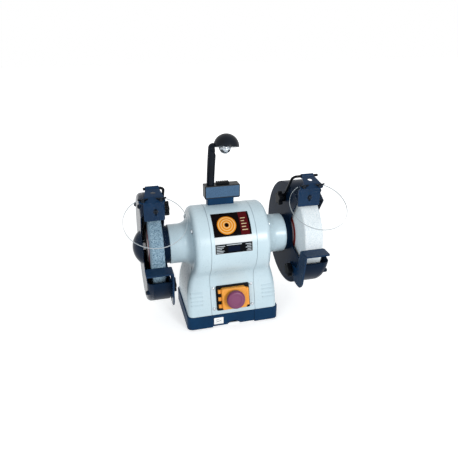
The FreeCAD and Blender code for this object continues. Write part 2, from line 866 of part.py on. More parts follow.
def arrester_screw_place(width):
    """Where the arrester's screw head sits, on the front of the arrester."""
    return Vec(guard_middle(width), arrester_y - arrester_sheet - 0.1, arrester_z + arrester_height * 0.5)


def arrester_screw_hole(width):
    """Hole for the arrester's screw in the guard's flange."""
    place = arrester_screw_place(width)
    return Part.makeCylinder(screw_shank_radius + press_gap, 20, place, Y_AXIS)


def guard_cover(width):
    """Pressed cover with a rounded rim, screw seats and a dome over the spindle nut."""
    face = cover_face(width)
    rim = face - cover_edge - cover_lip
    z = axis_height
    r = guard_radius

    def skin(inset):
        edge = cover_edge - inset
        cap = (dome_radius ** 2 + dome_height ** 2) / (2 * dome_height)
        centre = face + dome_height - cap
        ball = cap - inset
        x = face - inset
        top = centre + ball
        base = math.sqrt(ball ** 2 - (x - centre) ** 2)
        turn = math.asin(base / ball) / 2
        mid = Vec(x - edge + edge * math.sqrt(0.5), 0, z + r - cover_edge + edge * math.sqrt(0.5))
        bend = Part.Arc(Vec(x - edge, 0, z + r - inset), mid, Vec(x, 0, z + r - cover_edge)).toShape()
        half = Vec(centre + ball * math.cos(turn), 0, z + ball * math.sin(turn))
        dome = Part.Arc(Vec(x, 0, z + base), half, Vec(top, 0, z)).toShape()
        lines = [
            Part.makeLine(Vec(rim, 0, z), Vec(rim, 0, z + r - inset)),
            Part.makeLine(Vec(rim, 0, z + r - inset), Vec(x - edge, 0, z + r - inset)),
            Part.makeLine(Vec(x, 0, z + r - cover_edge), Vec(x, 0, z + base)),
            Part.makeLine(Vec(top, 0, z), Vec(rim, 0, z)),
        ]
        wire = Part.Wire(Part.__sortEdges__(lines + [bend, dome]))
        return Part.Face(wire).revolve(Vec(0, 0, z), X_AXIS, 360)

    solid = skin(0)
    seats = [rod_x(lug_radius + 0.6, rim, face + 0.4, y, z2) for y, z2 in cover_screw_places()]
    hub = rod_x(hub_radius, rim, face + 2 * dome_height)
    keep = rod_x(r, rim - 1, face + 2 * dome_height).cut(opening_wedge(rim - 2, face + 2 * dome_height + 1))
    keep = keep.fuse(hub)
    cover = solid.cut(skin(cover_sheet)).multiFuse(seats).common(keep)
    for y, z2 in cover_screw_places():
        cover = cover.cut(rod_x(screw_shank_radius + press_gap, rim - 1, face + 3, y, z2))
    return cover.removeSplitter()


def spark_arrester(width):
    """Slotted plate in front of the wheel's upper edge."""
    x0 = guard_plate_in
    x1 = guard_plate_in + arrester_width + width / 2
    y1 = arrester_y
    y0 = y1 - arrester_sheet
    top = arrester_z + arrester_height
    plate = box(x0, x1, y0, y1, arrester_z, top)
    corners = [e for e in plate.Edges if abs(e.tangentAt(e.FirstParameter).y) > 0.9]
    plate = plate.makeFillet(3, [e for e in corners if e.BoundBox.ZMin < arrester_z + 1])
    middle = arrester_screw_place(width)
    slot = box(middle.x - arrester_slot_half, middle.x + arrester_slot_half, y0 - 1, y1 + 1,
               middle.z - arrester_up - 2, middle.z + arrester_down + 2)
    ends = [Part.makeCylinder(arrester_slot_half, 10, Vec(middle.x, y0 - 1, middle.z + dz), Y_AXIS)
            for dz in (-arrester_up - 2, arrester_down + 2)]
    return plate.cut(slot.multiFuse(ends))


def tool_rest():
    """Bent plate: table in front of the wheel, leg beside the guard and a slotted arm."""
    y0 = rest_front
    y1 = rest_front + rest_depth
    top = axis_height
    x0 = rest_leg_in
    table = box(x0, x0 + rest_width, y0, y1, top - rest_sheet, top)
    corners = [e for e in table.Edges if abs(e.tangentAt(e.FirstParameter).z) > 0.9]
    table = table.makeFillet(3, [e for e in corners if e.BoundBox.XMin > x0 + 1])
    half_arm = rest_arm_height / 2
    low = rest_stud_z - half_arm
    high = rest_stud_z + half_arm
    step = rest_depth / 5
    outline = [(y0, top), (y1, top), (y1 + 2 * step, high + 8), (y1 + 4 * step, high)]
    outline += [(y1 + 5 * step, low), (y1 + 4 * step, low - 9), (y1 + step, low - 10)]
    outline += [(y1 - step, low - 8), (y1 - 2 * step, low - 3), (y0 + 2 * step, low + 6)]
    leg = prism_x(outline, x0, rest_leg_out)
    back = rest_stud_y + rest_out + stud_radius + 6
    arm = box(x0, rest_leg_out, y1 + 3 * step, back - half_arm, low, high)
    nose = rod_x(half_arm, x0, rest_leg_out, back - half_arm, rest_stud_z)
    rest = joined([table, leg, arm, nose])
    slot_half = stud_radius + free_gap
    front_end = rest_stud_y - rest_in - free_gap
    rear_end = rest_stud_y + rest_out + free_gap
    slot = box(x0 - 1, rest_leg_out + 1, front_end, rear_end, rest_stud_z - slot_half,
               rest_stud_z + slot_half)
    rounds = [rod_x(slot_half, x0 - 1, rest_leg_out + 1, y, rest_stud_z) for y in (front_end, rear_end)]
    rest = rest.cut(slot.multiFuse(rounds))
    bend = [e for e in rest.Edges if abs(e.BoundBox.XMin - x0) < 0.01 and abs(e.BoundBox.XMax - x0) < 0.01
            and abs(e.BoundBox.ZMin - top) < 0.01 and abs(e.BoundBox.ZMax - top) < 0.01]
    return rest.makeFillet(rest_sheet * 0.9, bend)


def clamp_stud(y, z, grip):
    """Round-head stud in the guard's side plate; grip is where the knob's thread ends."""
    head = rod_x(stud_head_radius, guard_plate_out, guard_plate_out + stud_head_height, y, z)
    return head.fuse(rod_x(stud_radius, grip, guard_plate_out + 1, y, z))


def star_knob(y, z, face):
    """Lobed knob on a stud; face is the X of what it clamps."""
    rear = face - free_gap - knob_boss_height
    front = rear - knob_height
    parts = [rod_x(knob_radius, front, rear, y, z)]
    parts.append(rod_x(knob_boss_radius, rear - 1, face - free_gap, y, z))
    for i in range(knob_lobes):
        angle = math.radians(90 + 360.0 * i / knob_lobes)
        parts.append(rod_x(lobe_radius, front, rear, y + knob_radius * math.cos(angle),
                           z + knob_radius * math.sin(angle)))
    knob = joined(parts)
    rim = [e for e in knob.Edges if e.BoundBox.XMax < front + 0.01]
    knob = knob.makeFillet(1.6, rim)
    return knob.cut(rod_x(stud_radius + running_gap, front + 3, face + 1, y, z))


def knob_grip(face):
    """X where a stud ends inside its knob."""
    return face - free_gap - knob_boss_height - knob_height + 3 + free_gap


def rod_eye_faces():
    """X of the inboard and outboard faces of a shield rod's eye."""
    out = guard_plate_in - free_gap
    return out - rod_eye_thickness, out


def shield_rod(width):
    """Bent rod: an eye on the guard's stud, a leaning leg and a bar over the wheel."""
    end = cover_face(width) - cover_edge
    eye_in, eye_out = rod_eye_faces()
    x = (eye_in + eye_out) / 2
    low = Vec(x, rod_stud_y, rod_stud_z)
    high = Vec(x, rod_y, rod_z)
    rise = (high - low).normalize()
    start = low + rise * (rod_eye_radius - 1)
    before = high - rise * rod_bend
    after = high + X_AXIS * rod_bend
    centre = before + X_AXIS * rod_bend
    middle = centre + (rise - X_AXIS) * (rod_bend / math.sqrt(2))
    path = Part.Wire([
        Part.makeLine(start, before),
        Part.Arc(before, middle, after).toShape(),
        Part.makeLine(after, Vec(end, rod_y, rod_z)),
    ])
    round_wire = Part.Wire(Part.makeCircle(rod_radius, start, rise))
    bar = path.makePipeShell([round_wire], True, False)
    eye = rod_x(rod_eye_radius, eye_in, eye_out, rod_stud_y, rod_stud_z)
    rod = joined([eye, bar])
    return rod.cut(rod_x(stud_radius + running_gap, eye_in - 1, eye_out + 1, rod_stud_y, rod_stud_z))


def bracket_bend():
    """(y, z) of the bend line between a bracket's neck and its wings."""
    drop = math.radians(bracket_drop)
    return rod_y - bracket_reach * math.cos(drop), rod_z - bracket_reach * math.sin(drop)


def sloped_plate(points, thickness, drop, y, z):
    """Polygon of (x, distance) points on a slope that falls forwards from the line at (y, z)."""
    corners = [Vec(px, -d, 0) for px, d in points]
    plate = Part.Face(Part.makePolygon(corners + corners[:1])).extrude(Vec(0, 0, thickness))
    plate.rotate(Vec(0, 0, 0), X_AXIS, drop)
    plate.translate(Vec(0, y, z))
    return plate


def shield_screw_places():
    """(x, distance from the bend) of the two screws that hold a shield."""
    return [(shield_middle + s * shield_screw_half, wing_depth - 5) for s in (-1, 1)]


def on_shield(shape, x, distance, lift):
    """Places a shape built along +Z on the shield's slope."""
    y, z = bracket_bend()
    shape = shape.copy()
    shape.translate(Vec(x, -distance, lift))
    shape.rotate(Vec(0, 0, 0), X_AXIS, shield_drop)
    shape.translate(Vec(0, y, z))
    return shape


def shield_bracket(side):
    """Bent bracket: a sleeve on the rod, a holed neck and wings over the shield's top edge.

    Both sides carry the same pressing, so its neck stands to the operator's right on each."""
    middle = shield_middle + side * bracket_shift
    half_top = bracket_top_width / 2
    half_low = bracket_low_width / 2
    sleeve_radius = rod_radius + running_gap + sleeve_wall
    sleeve = rod_x(sleeve_radius, middle - half_top, middle + half_top, rod_y, rod_z)
    neck_points = [(middle - half_top, 0), (middle + half_top, 0), (middle + half_low, bracket_reach),
                   (middle - half_low, bracket_reach)]
    neck = sloped_plate(neck_points, bracket_sheet, bracket_drop, rod_y, rod_z)
    left = shield_middle - wing_width / 2
    right = shield_middle + wing_width / 2
    y, z = bracket_bend()
    wing_points = [(middle - half_low, -1), (middle + half_low, -1), (right, 4), (right, wing_depth - 3),
                   (right - 3, wing_depth), (left + 3, wing_depth), (left, wing_depth - 3), (left, 4)]
    wing = sloped_plate(wing_points, bracket_sheet, shield_drop, y, z)
    bracket = joined([sleeve, neck, wing])
    bore = rod_x(rod_radius + running_gap, middle - half_top - 1, middle + half_top + 1, rod_y, rod_z)
    hole = Part.makeCylinder(bracket_hole, 20, Vec(middle, -bracket_reach * 0.55, -10))
    hole.rotate(Vec(0, 0, 0), X_AXIS, bracket_drop)
    hole.translate(Vec(0, rod_y, rod_z))
    bracket = bracket.cut(bore).cut(hole)
    for x, d in shield_screw_places():
        drill = Part.makeCylinder(screw_shank_radius + press_gap, 20, Vec(0, 0, -10))
        bracket = bracket.cut(on_shield(drill, x, d, 0))
    return bracket


def shield_lens():
    """Clear round shield with a straight top edge under the bracket's wings."""
    middle = shield_middle
    centre = shield_setback + shield_top
    disc = Part.makeCylinder(shield_radius, shield_thickness)
    far = 2 * shield_radius
    chord = box(-far, far, shield_top, far, -1, shield_thickness + 1)
    disc = disc.cut(chord)
    disc = disc.makeChamfer(shield_chamfer, [e for e in disc.Edges if e.BoundBox.ZLength < 0.01])
    lens = on_shield(disc, middle, centre, -shield_thickness)
    for x, d in shield_screw_places():
        drill = Part.makeCylinder(screw_shank_radius + press_gap, 20, Vec(0, 0, -10))
        lens = lens.cut(on_shield(drill, x, d, 0))
    return lens


def shield_screw(x, distance):
    """Screw and nut that clamp the shield under a wing."""
    length = shield_thickness + bracket_sheet + 3.0
    screw = pan_screw(length, shield_screw_radius)
    nut = Part.makeCylinder(3.6, 2.4, Vec(0, 0, -length + 0.6))
    return on_shield(screw.fuse(nut), x, distance, bracket_sheet)


def housing_screws():
    """Cross-head screws of the switch panel, the guard covers and the spark arresters."""
    screws = []
    for u in (-panel_screw_u, panel_screw_u):
        for v in (-panel_screw_v, panel_screw_v):
            screw = pan_screw()
            screw.translate(Vec(u, v, 0))
            screws.append(on_front(screw))
    for side, width in ((-1, left_wheel_width), (1, right_wheel_width)):
        for y, z in cover_screw_places():
            long_screw = pan_screw(cover_edge + cover_lip + 6)
            screw = pointed(long_screw, X_AXIS, Vec(cover_face(width) + 0.4, y, z))
            screws.append(to_side(screw, side))
        screw = pointed(pan_screw(), Vec(0, -1, 0), arrester_screw_place(width))
        screws.append(to_side(screw, side))
    return screws


def switch_bezel():
    """Dark frame around the switch with the lugs and pin of the flap's hinge."""
    half_u = bezel_width / 2
    half_v = bezel_height / 2
    frame = rounded_block(-half_u, half_u, -half_v, half_v, 0, bezel_thickness, 3)
    rim = [e for e in frame.Edges if e.BoundBox.ZMin > bezel_thickness - 0.01]
    frame = frame.makeFillet(bezel_round, rim)
    hole_u = switch_width / 2 + seat_gap
    hole_v = switch_tall / 2 + seat_gap
    frame = frame.cut(box(-hole_u, hole_u, -hole_v, hole_v, -1, bezel_thickness + 1))
    lugs = []
    for v in (-knuckle_pitch / 2, knuckle_pitch / 2):
        half = (knuckle_pitch - knuckle_length) / 2 - free_gap
        post = box(hinge_u - 2.4, hinge_u + 2.4, v - half, v + half, bezel_thickness - 1, hinge_rise)
        eye = Part.makeCylinder(2.6, 2 * half, Vec(hinge_u, v - half, hinge_rise), Y_AXIS)
        lugs += [post, eye]
    reach = knuckle_pitch + knuckle_length / 2
    pin = Part.makeCylinder(hinge_pin_radius, 2 * reach, Vec(hinge_u, -reach, hinge_rise), Y_AXIS)
    return on_front(frame.multiFuse(lugs + [pin]))


def button_hole(u):
    """Room for a button and its travel in the switch body."""
    half_u = button_width / 2 + free_gap
    half_v = button_tall / 2 + free_gap
    return box(u - half_u, u + half_u, -half_v, half_v, -12, 20)


def switch_body():
    """Switch housing with two button wells, reaching back into the pedestal."""
    half_u = switch_width / 2
    half_v = switch_tall / 2
    body = box(-half_u, half_u, -half_v, half_v, -switch_deep, bezel_thickness)
    return on_front(body.cut(button_hole(start_u)).cut(button_hole(stop_u)))


def push_button(u):
    """Rectangular button with rounded corners and a guide stem at its back."""
    half_u = button_width / 2
    half_v = button_tall / 2
    top = bezel_thickness + button_proud
    cap = rounded_block(u - half_u, u + half_u, -half_v, half_v, -3, top, 2.5)
    cap = cap.makeFillet(button_round, [e for e in cap.Edges if e.BoundBox.ZMin > top - 0.01])
    stem = Part.makeCylinder(4, 5, Vec(u, 0, -7.6))
    return on_front(cap.fuse(stem))


def switch_flap():
    """Hinged cover over the buttons with three knuckles, a latch bar and the stop knob's guide."""
    top = flap_base + flap_height
    lid = rounded_block(flap_left, flap_right - 6, -flap_half, flap_half, flap_base, top, 4)
    rim = [e for e in lid.Edges if e.BoundBox.ZMin > top - 0.01]
    lid = lid.makeFillet(2, rim)
    half = flap_half - flap_wall
    room = box(flap_left + flap_wall, flap_right - 6 - flap_wall, -half, half, flap_base - 1,
               top - flap_wall)
    lid = lid.cut(room)
    grip = flap_half - 4
    latch = rounded_block(flap_right - 7, flap_right, -grip, grip, flap_base, top - 4, 1.5)
    knuckles = []
    for v in (-knuckle_pitch, 0, knuckle_pitch):
        start = v - knuckle_length / 2
        place = Vec(hinge_u, start, hinge_rise)
        knuckles.append(Part.makeCylinder(knuckle_radius, knuckle_length, place, Y_AXIS))
        arm = box(hinge_u, flap_left + 3, start, start + knuckle_length, hinge_rise + 0.4,
                  hinge_rise + knuckle_radius)
        knuckles.append(arm)
    guide = Part.makeCylinder(stem_radius + 3, flap_height - 4, Vec(mushroom_u, 0, flap_base + 4))
    flap = joined([lid, latch, guide] + knuckles)
    pin = Part.makeCylinder(hinge_pin_radius + running_gap, 80, Vec(hinge_u, -40, hinge_rise), Y_AXIS)
    stem = Part.makeCylinder(stem_radius + free_gap, 40, Vec(mushroom_u, 0, 0))
    return on_front(flap.cut(pin).cut(stem))


def stop_mushroom():
    """Large stop knob with a dished face on a stem that reaches the stop button."""
    low = flap_base + flap_height + button_travel + free_gap
    high = low + mushroom_height
    button_top = bezel_thickness + button_proud
    r = mushroom_radius
    a = Vec(r - 3.5, 0, low)
    b = Vec(r, 0, low + 3.5)
    c = Vec(r, 0, high - 5)
    d = Vec(r - 6, 0, high)
    curve = Part.Arc(c, Vec(r - 1.6, 0, high - 1.6), d).toShape()
    under = Part.Arc(a, Vec(r - 1, 0, low + 1), b).toShape()
    corners = [d, Vec(0, 0, high), Vec(0, 0, low), a]
    lines = [Part.makeLine(p, q) for p, q in zip(corners, corners[1:])] + [Part.makeLine(b, c)]
    outline = Part.Wire(Part.__sortEdges__(lines + [curve, under]))
    cap = Part.Face(outline).revolve(Vec(0, 0, 0), Z_AXIS, 360)
    dish = Part.makeCylinder(r - 9, 2, Vec(0, 0, high - 0.8))
    stem = Part.makeCylinder(stem_radius, low + 1 - button_top - free_gap, Vec(0, 0, button_top + free_gap))
    knob = cap.cut(dish).fuse(stem)
    knob.translate(Vec(mushroom_u, 0, 0))
    return on_front(knob)


def lamp_bracket():
    """Saddle on top of the barrel with the flat lid that carries the lamp box."""
    x0 = lamp_box_left
    y0 = lamp_box_front
    y1 = y0 + lamp_box_depth
    left = x0 + saddle_inset
    saddle = rounded_block(left, left + saddle_width, y0 + 1, y1 - 1, barrel_top - 12,
                           lamp_base_z - 1, saddle_corner)
    saddle = saddle.cut(rod_x(barrel_radius, -seam_x * 2, seam_x * 2))
    lid = rounded_block(x0 + 1, x0 + lamp_box_width - 1, y0 + 1, y1 - 1, lamp_base_z - lid_thickness,
                        lamp_base_z, lid_corner)
    bracket = joined([saddle, lid])
    return bracket.cut(rod_z_axis(4, barrel_top - 20, lamp_base_z + 1, 0, lamp_y))


def lamp_box():
    """Rectangular box, open below, with holes for the stalk and the slide switch."""
    x0 = lamp_box_left
    x1 = x0 + lamp_box_width
    y0 = lamp_box_front
    y1 = y0 + lamp_box_depth
    w = lamp_box_wall
    block = box(x0, x1, y0, y1, lamp_base_z, lamp_top_z)
    block = block.makeFillet(1.6, [e for e in block.Edges if e.BoundBox.ZMax > lamp_base_z + 1])
    room = box(x0 + w, x1 - w, y0 + w, y1 - w, lamp_base_z - 1, lamp_top_z - w)
    hole = rod_z_axis(swivel_radius + running_gap, lamp_base_z, lamp_top_z + 1, stalk_x, lamp_y)
    half = slider_stem / 2 + free_gap
    reach = half + slider_travel
    slot = box(slider_x - reach, slider_x + reach, lamp_y - half, lamp_y + half, lamp_base_z + 5,
               lamp_top_z + 1)
    return block.cut(room).cut(hole).cut(slot)


def lamp_switch():
    """Ribbed slider on top of the lamp box with its stem through the slot."""
    low = lamp_top_z + free_gap
    half = slider_length / 2
    grip = box(slider_x - half, slider_x + half, lamp_y - slider_depth / 2, lamp_y + slider_depth / 2,
               low, low + slider_height)
    grip = grip.makeFillet(1.2, [e for e in grip.Edges if e.BoundBox.ZMin > low + 1])
    pitch = slider_length / (slider_ribs + 1)
    for i in range(slider_ribs):
        x = slider_x + pitch * (i - (slider_ribs - 1) / 2)
        bottom = low + slider_height - 1.6
        groove = box(x - 0.9, x + 0.9, lamp_y - slider_depth, lamp_y + slider_depth, bottom, low + 20)
        grip = grip.cut(groove)
    half = slider_stem / 2
    stem = box(slider_x - half, slider_x + half, lamp_y - half, lamp_y + half,
               lamp_top_z - lamp_box_wall - 4, low + 1)
    foot_top = lamp_top_z - lamp_box_wall - free_gap
    wide = half + 3
    deep = half + 2
    foot = box(slider_x - wide, slider_x + wide, lamp_y - deep, lamp_y + deep, foot_top - 2, foot_top)
    return grip.multiFuse([stem, foot])


def lamp_arm():
    """Moulded arm that swivels in the lamp box, with a rounded head cupped round the shade."""
    low = lamp_top_z + free_gap
    centre = Vec(shade_x, lamp_y, lamp_top_z + shade_rise)
    high = centre.z - arm_head_drop
    foot = Part.Wire(Part.makeCircle(stalk_base_radius, Vec(stalk_x, lamp_y, low)))
    knee = Part.Wire(Part.makeCircle((stalk_base_radius + stalk_top_radius) / 2,
                                     Vec(stalk_x + stalk_lean * 0.4, lamp_y, (low + high) / 2)))
    head = Part.Wire(Part.makeCircle(stalk_top_radius, Vec(stalk_x + stalk_lean, lamp_y, high)))
    stalk = Part.makeLoft([foot, knee, head], True)
    head_x = stalk_x + stalk_lean - stalk_top_radius + arm_head_radius
    crown = Part.makeSphere(arm_head_radius, Vec(head_x, lamp_y, high))
    pin_end = low - free_gap - swivel_length
    pin = rod_z_axis(swivel_radius, pin_end, low + 1, stalk_x, lamp_y)
    washer_top = lamp_top_z - lamp_box_wall - free_gap
    washer = rod_z_axis(swivel_radius + 2, pin_end, washer_top, stalk_x, lamp_y)
    arm = joined([stalk, crown, pin, washer])
    arm = arm.cut(Part.makeSphere(shade_radius + shade_gap, centre))
    bore_end = centre.x - shade_radius - pivot_length - free_gap
    return arm.cut(rod_x(pivot_radius + running_gap, bore_end, centre.x, lamp_y, centre.z + pivot_lift))


def level(degrees):
    """Level direction at an angle from the operator's side towards the left."""
    turn = math.radians(degrees)
    return Vec(-math.sin(turn), -math.cos(turn), 0)


def shade_axis():
    """Direction in which the lamp shade opens."""
    tilt = math.radians(shade_tilt)
    return level(shade_turn) * math.sin(tilt) - Z_AXIS * math.cos(tilt)


def lamp_shade():
    """Half-round shade with an arched front edge and its pivot pin."""
    centre = Vec(shade_x, lamp_y, lamp_top_z + shade_rise)
    out = shade_axis()
    ball = Part.makeSphere(shade_radius, centre)
    hollow = Part.makeSphere(shade_radius - shade_wall, centre)
    below = pointed(box(-60, 60, -60, 60, 0, 60), out, centre + out * shade_skirt)
    arch_foot = centre + level(arch_turn) * 5 - Z_AXIS * shade_arch_drop
    arch = Part.makeCylinder(shade_arch, 60, arch_foot, level(arch_turn))
    wall_x = centre.x - shade_radius
    pivot_z = centre.z + pivot_lift
    pin = rod_x(pivot_radius, wall_x - pivot_length, wall_x + shade_radius / 4, centre.y, pivot_z)
    return ball.cut(hollow).cut(below).cut(arch).fuse(pin.cut(hollow))


def lamp_bulb():
    """Globe bulb and the socket that holds it under the crown of the shade."""
    centre = Vec(shade_x, lamp_y, lamp_top_z + shade_rise)
    glass_centre = centre + level(arch_turn) * bulb_forward
    inward = (level(arch_turn) * -0.8 + Z_AXIS * 0.6).normalize()
    ceiling = Part.makeSphere(shade_radius - shade_wall - seat_gap, centre)
    socket = Part.makeCylinder(socket_radius, 2 * shade_radius, glass_centre, inward).common(ceiling)
    bulb = Part.makeSphere(bulb_radius, glass_centre)
    return socket.cut(bulb).removeSplitter(), bulb


def label_patch(angles):
    """Thin curved plate on the front of the barrel between two angles."""
    inner = barrel_radius + 0.02
    outer = inner + label_thickness
    z = axis_height
    right = label_left + label_width
    corners = [Vec(label_left, -inner, z), Vec(right, -inner, z), Vec(right, -outer, z),
               Vec(label_left, -outer, z)]
    face = Part.Face(Part.makePolygon(corners + corners[:1]))
    face.rotate(Vec(0, 0, z), X_AXIS, -angles[0])
    return face.revolve(Vec(0, 0, z), X_AXIS, -(angles[1] - angles[0]))


def capacitor_place():
    """Centre line of the capacitor, lying along X on the base's floor at the back."""
    floor = base_bottom + 2.0 + plate_thickness
    return body_half_depth * 0.3, floor + clip_sheet + capacitor_radius


def capacitor():
    """Motor capacitor: a can with two tags."""
    y, z = capacitor_place()
    half = capacitor_length / 2
    can = rod_x(capacitor_radius - press_gap, -half, half, y, z)
    tags = [box(half - 1, half + 8, y + s * 6 - 3, y + s * 6 + 3, z - 0.4, z + 0.4) for s in (-1, 1)]
    return can.multiFuse(tags)


def capacitor_clip():
    """Sheet clip around the capacitor, standing on the base's floor."""
    y, z = capacitor_place()
    band = ring_x(capacitor_radius + clip_sheet, capacitor_radius, -8, 8, y, z)
    floor = z - capacitor_radius - clip_sheet
    foot = box(-8, 8, y - capacitor_radius - 10, y, floor, floor + clip_sheet)
    hole = rod_z_axis(screw_shank_radius, floor - 1, floor + 5, 0, y - capacitor_radius - 5)
    clip = joined([band, foot]).cut(rod_x(capacitor_radius, -9, 9, y, z))
    return clip.cut(hole)


def terminal_block():
    """Screw terminals on the base's floor."""
    length, depth, height = terminal_size
    floor = base_bottom + 2.0 + plate_thickness
    y = -body_half_depth * 0.45
    block = box(-length / 2, length / 2, y - depth / 2, y + depth / 2, floor, floor + height)
    for i in range(4):
        x = length * (i - 1.5) / 4
        block = block.cut(rod_z_axis(2.5, floor + height - 5, floor + height + 1, x, y))
    return block


def cable_gland():
    """Screwed cable inlet in the back wall of the base."""
    y = base_depth / 2
    x = pedestal_half / 2
    z = base_bottom + base_height / 2
    body = Part.makeCylinder(gland_radius, gland_length * 0.4, Vec(x, y, z), Y_AXIS)
    corners = [Vec(x + gland_radius * 1.1 * math.cos(math.radians(60 * i)), y,
                   z + gland_radius * 1.1 * math.sin(math.radians(60 * i))) for i in range(6)]
    collar = Part.Face(Part.makePolygon(corners + corners[:1])).extrude(Vec(0, gland_length * 0.3, 0))
    cone = Part.makeCone(gland_radius * 0.95, gland_bore + 1.5, gland_length * 0.6,
                         Vec(x, y + gland_length * 0.4, z), Y_AXIS)
    inner = base_wall + 4
    tail = Part.makeCylinder(gland_radius - 3 - press_gap, inner, Vec(x, y - inner, z), Y_AXIS)
    nut = Part.makeCylinder(gland_radius, 3, Vec(x, y - base_wall - 3 - press_gap, z), Y_AXIS)
    gland = joined([body, collar, cone, tail, nut])
    return gland.cut(Part.makeCylinder(gland_bore, 60, Vec(x, y - 30, z), Y_AXIS))


def build_housing():
    """Base, body, motor, electrics and lamp mounting."""
    export("base_tray", base_tray())
    export("base_plate", base_plate())
    export("rubber_feet", *[rubber_foot(x, y) for x, y in bench_points()])
    export("motor_shell", motor_shell())
    shell = end_shell()
    export("left_end_shell", to_side(shell, -1))
    export("right_end_shell", shell)
    export("tie_bolts", *[tie_bolt(y, z) for y, z in tie_points()])
    export("stator_core", stator_core())
    export("stator_windings", winding(-1), winding(1))
    outer = bearing_ring(bearing_outer - press_gap, bearing_outer - ring_height, free_gap)
    export("bearing_outer_rings", to_side(outer, -1), outer)
    export("capacitor", capacitor())
    export("capacitor_clip", capacitor_clip())
    export("terminal_block", terminal_block())
    export("cable_gland", cable_gland())
    export("front_label", label_patch(front_label_angles))
    export("rating_plate", label_patch(rating_plate_angles))
    export("housing_screws", *housing_screws())
    export("lamp_bracket", lamp_bracket())
    export("lamp_box", lamp_box())


def build_switch():
    """Switch with its hinged flap."""
    export("switch_bezel", switch_bezel())
    export("switch_body", switch_body())
    export("start_button", push_button(start_u))
    export("stop_button", push_button(stop_u))
    export("switch_flap", switch_flap())
    export("stop_mushroom", stop_mushroom())


def build_rotor():
    """Everything that turns with the spindle, and the bearings' balls."""
    export("shaft", shaft())
    core = ring_x(rotor_radius, shaft_radius + press_gap, -core_half, core_half)
    export("rotor_core", core)
    export("left_wheel", to_side(grinding_wheel(left_wheel_width), -1))
    export("right_wheel", grinding_wheel(right_wheel_width))
    flanges = []
    blotters = []
    nuts = []
    for side, width in ((-1, left_wheel_width), (1, right_wheel_width)):
        flanges += [to_side(inner_flange(), side), to_side(outer_flange(width), side)]
        blotters.append(to_side(blotter(wheel_face - blotter_thickness), side))
        blotters.append(to_side(blotter(wheel_face + width), side))
        nuts.append(to_side(wheel_nut(width), side))
    export("wheel_flanges", *flanges)
    export("wheel_blotters", *blotters)
    export("wheel_nuts", *nuts)
    inner = bearing_ring(bearing_bore + ring_height, bearing_bore + press_gap, free_gap)
    export("bearing_inner_rings", to_side(inner, -1), inner)
    cage = ball_cage()
    export("bearing_balls", to_side(cage, -1), cage)


def build_wheel_stations():
    """Guards, spark arresters, tool rests and eye shields of both wheels."""
    studs = []
    eye_in = rod_eye_faces()[0]
    for name, side, width in (("left", -1, left_wheel_width), ("right", 1, right_wheel_width)):
        export(name + "_guard", to_side(guard(width), side))
        export(name + "_guard_cover", to_side(guard_cover(width), side))
        export(name + "_spark_arrester", to_side(spark_arrester(width), side))
        export(name + "_tool_rest", to_side(tool_rest(), side))
        export(name + "_shield_rod", to_side(shield_rod(width), side))
        export(name + "_shield_bracket", to_side(shield_bracket(side), side))
        export(name + "_shield_lens", to_side(shield_lens(), side))
        screws = [to_side(shield_screw(x, d), side) for x, d in shield_screw_places()]
        export(name + "_shield_screws", *screws)
        export(name + "_shield_knob", to_side(star_knob(rod_stud_y, rod_stud_z, eye_in), side))
        export(name + "_rest_knob", to_side(star_knob(rest_stud_y, rest_stud_z, rest_leg_in), side))
        studs.append(to_side(clamp_stud(rod_stud_y, rod_stud_z, knob_grip(eye_in)), side))
        studs.append(to_side(clamp_stud(rest_stud_y, rest_stud_z, knob_grip(rest_leg_in)), side))
    export("clamp_studs", *studs)


def build_lamp():
    """Swivelling stalk, shade, bulb and slide switch of the work lamp."""
    export("lamp_arm", lamp_arm())
    export("lamp_shade", lamp_shade())
    export("lamp_bulb", *lamp_bulb())
    export("lamp_switch", lamp_switch())


os.makedirs("parts", exist_ok=True)
build_housing()
build_switch()
build_rotor()
build_wheel_stations()
build_lamp()
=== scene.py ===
"""Bench grinder with a work lamp: finishes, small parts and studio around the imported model."""

import logging
import math
from dataclasses import dataclass
from enum import Enum
from typing import Any, ClassVar

import bmesh
import bpy
from mathutils import Matrix, Vector


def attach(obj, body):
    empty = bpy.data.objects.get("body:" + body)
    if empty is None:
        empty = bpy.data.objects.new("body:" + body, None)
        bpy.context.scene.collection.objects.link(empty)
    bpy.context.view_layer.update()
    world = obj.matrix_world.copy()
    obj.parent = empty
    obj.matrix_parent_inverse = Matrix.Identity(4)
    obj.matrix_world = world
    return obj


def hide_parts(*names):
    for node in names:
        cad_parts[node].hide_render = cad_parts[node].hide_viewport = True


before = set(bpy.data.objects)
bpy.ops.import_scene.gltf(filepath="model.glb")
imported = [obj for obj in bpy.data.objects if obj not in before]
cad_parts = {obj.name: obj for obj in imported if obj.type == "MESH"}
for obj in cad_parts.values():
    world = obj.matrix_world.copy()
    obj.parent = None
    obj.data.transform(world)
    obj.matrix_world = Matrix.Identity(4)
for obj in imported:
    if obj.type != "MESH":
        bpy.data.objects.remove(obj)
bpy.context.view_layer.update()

LOG = logging.getLogger("grinder")
MM = 0.001
PER_MM = 1000.0
SPINDLE_HEIGHT = 180.0      # over the floor, in millimetres
BARREL_RADIUS = 78.0        # of the motor shell, in millimetres
WAVE_LENGTH = 0.314         # of Blender's wave texture at a scale of 1
BEVEL_SAMPLES = 6
EDGE_SPAN = (0.99, 0.8)     # agreement of softened and true normal, on flat faces and on edges
SLAB_RINGS = ((0.0, 1.0), (0.7, 1.0), (1.0, 0.985))     # shares of height and of outline
WELD = 1e-7                 # corners nearer than this are one, in metres
POLE = 1e-9                 # a turned ring smaller than this is one point, in metres

Colour = tuple[float, float, float, float]
Point = tuple[float, float, float]
Pair = tuple[float, float]
Node = bpy.types.Node
Tree = bpy.types.NodeTree
Feed = bpy.types.Node | bpy.types.NodeSocket


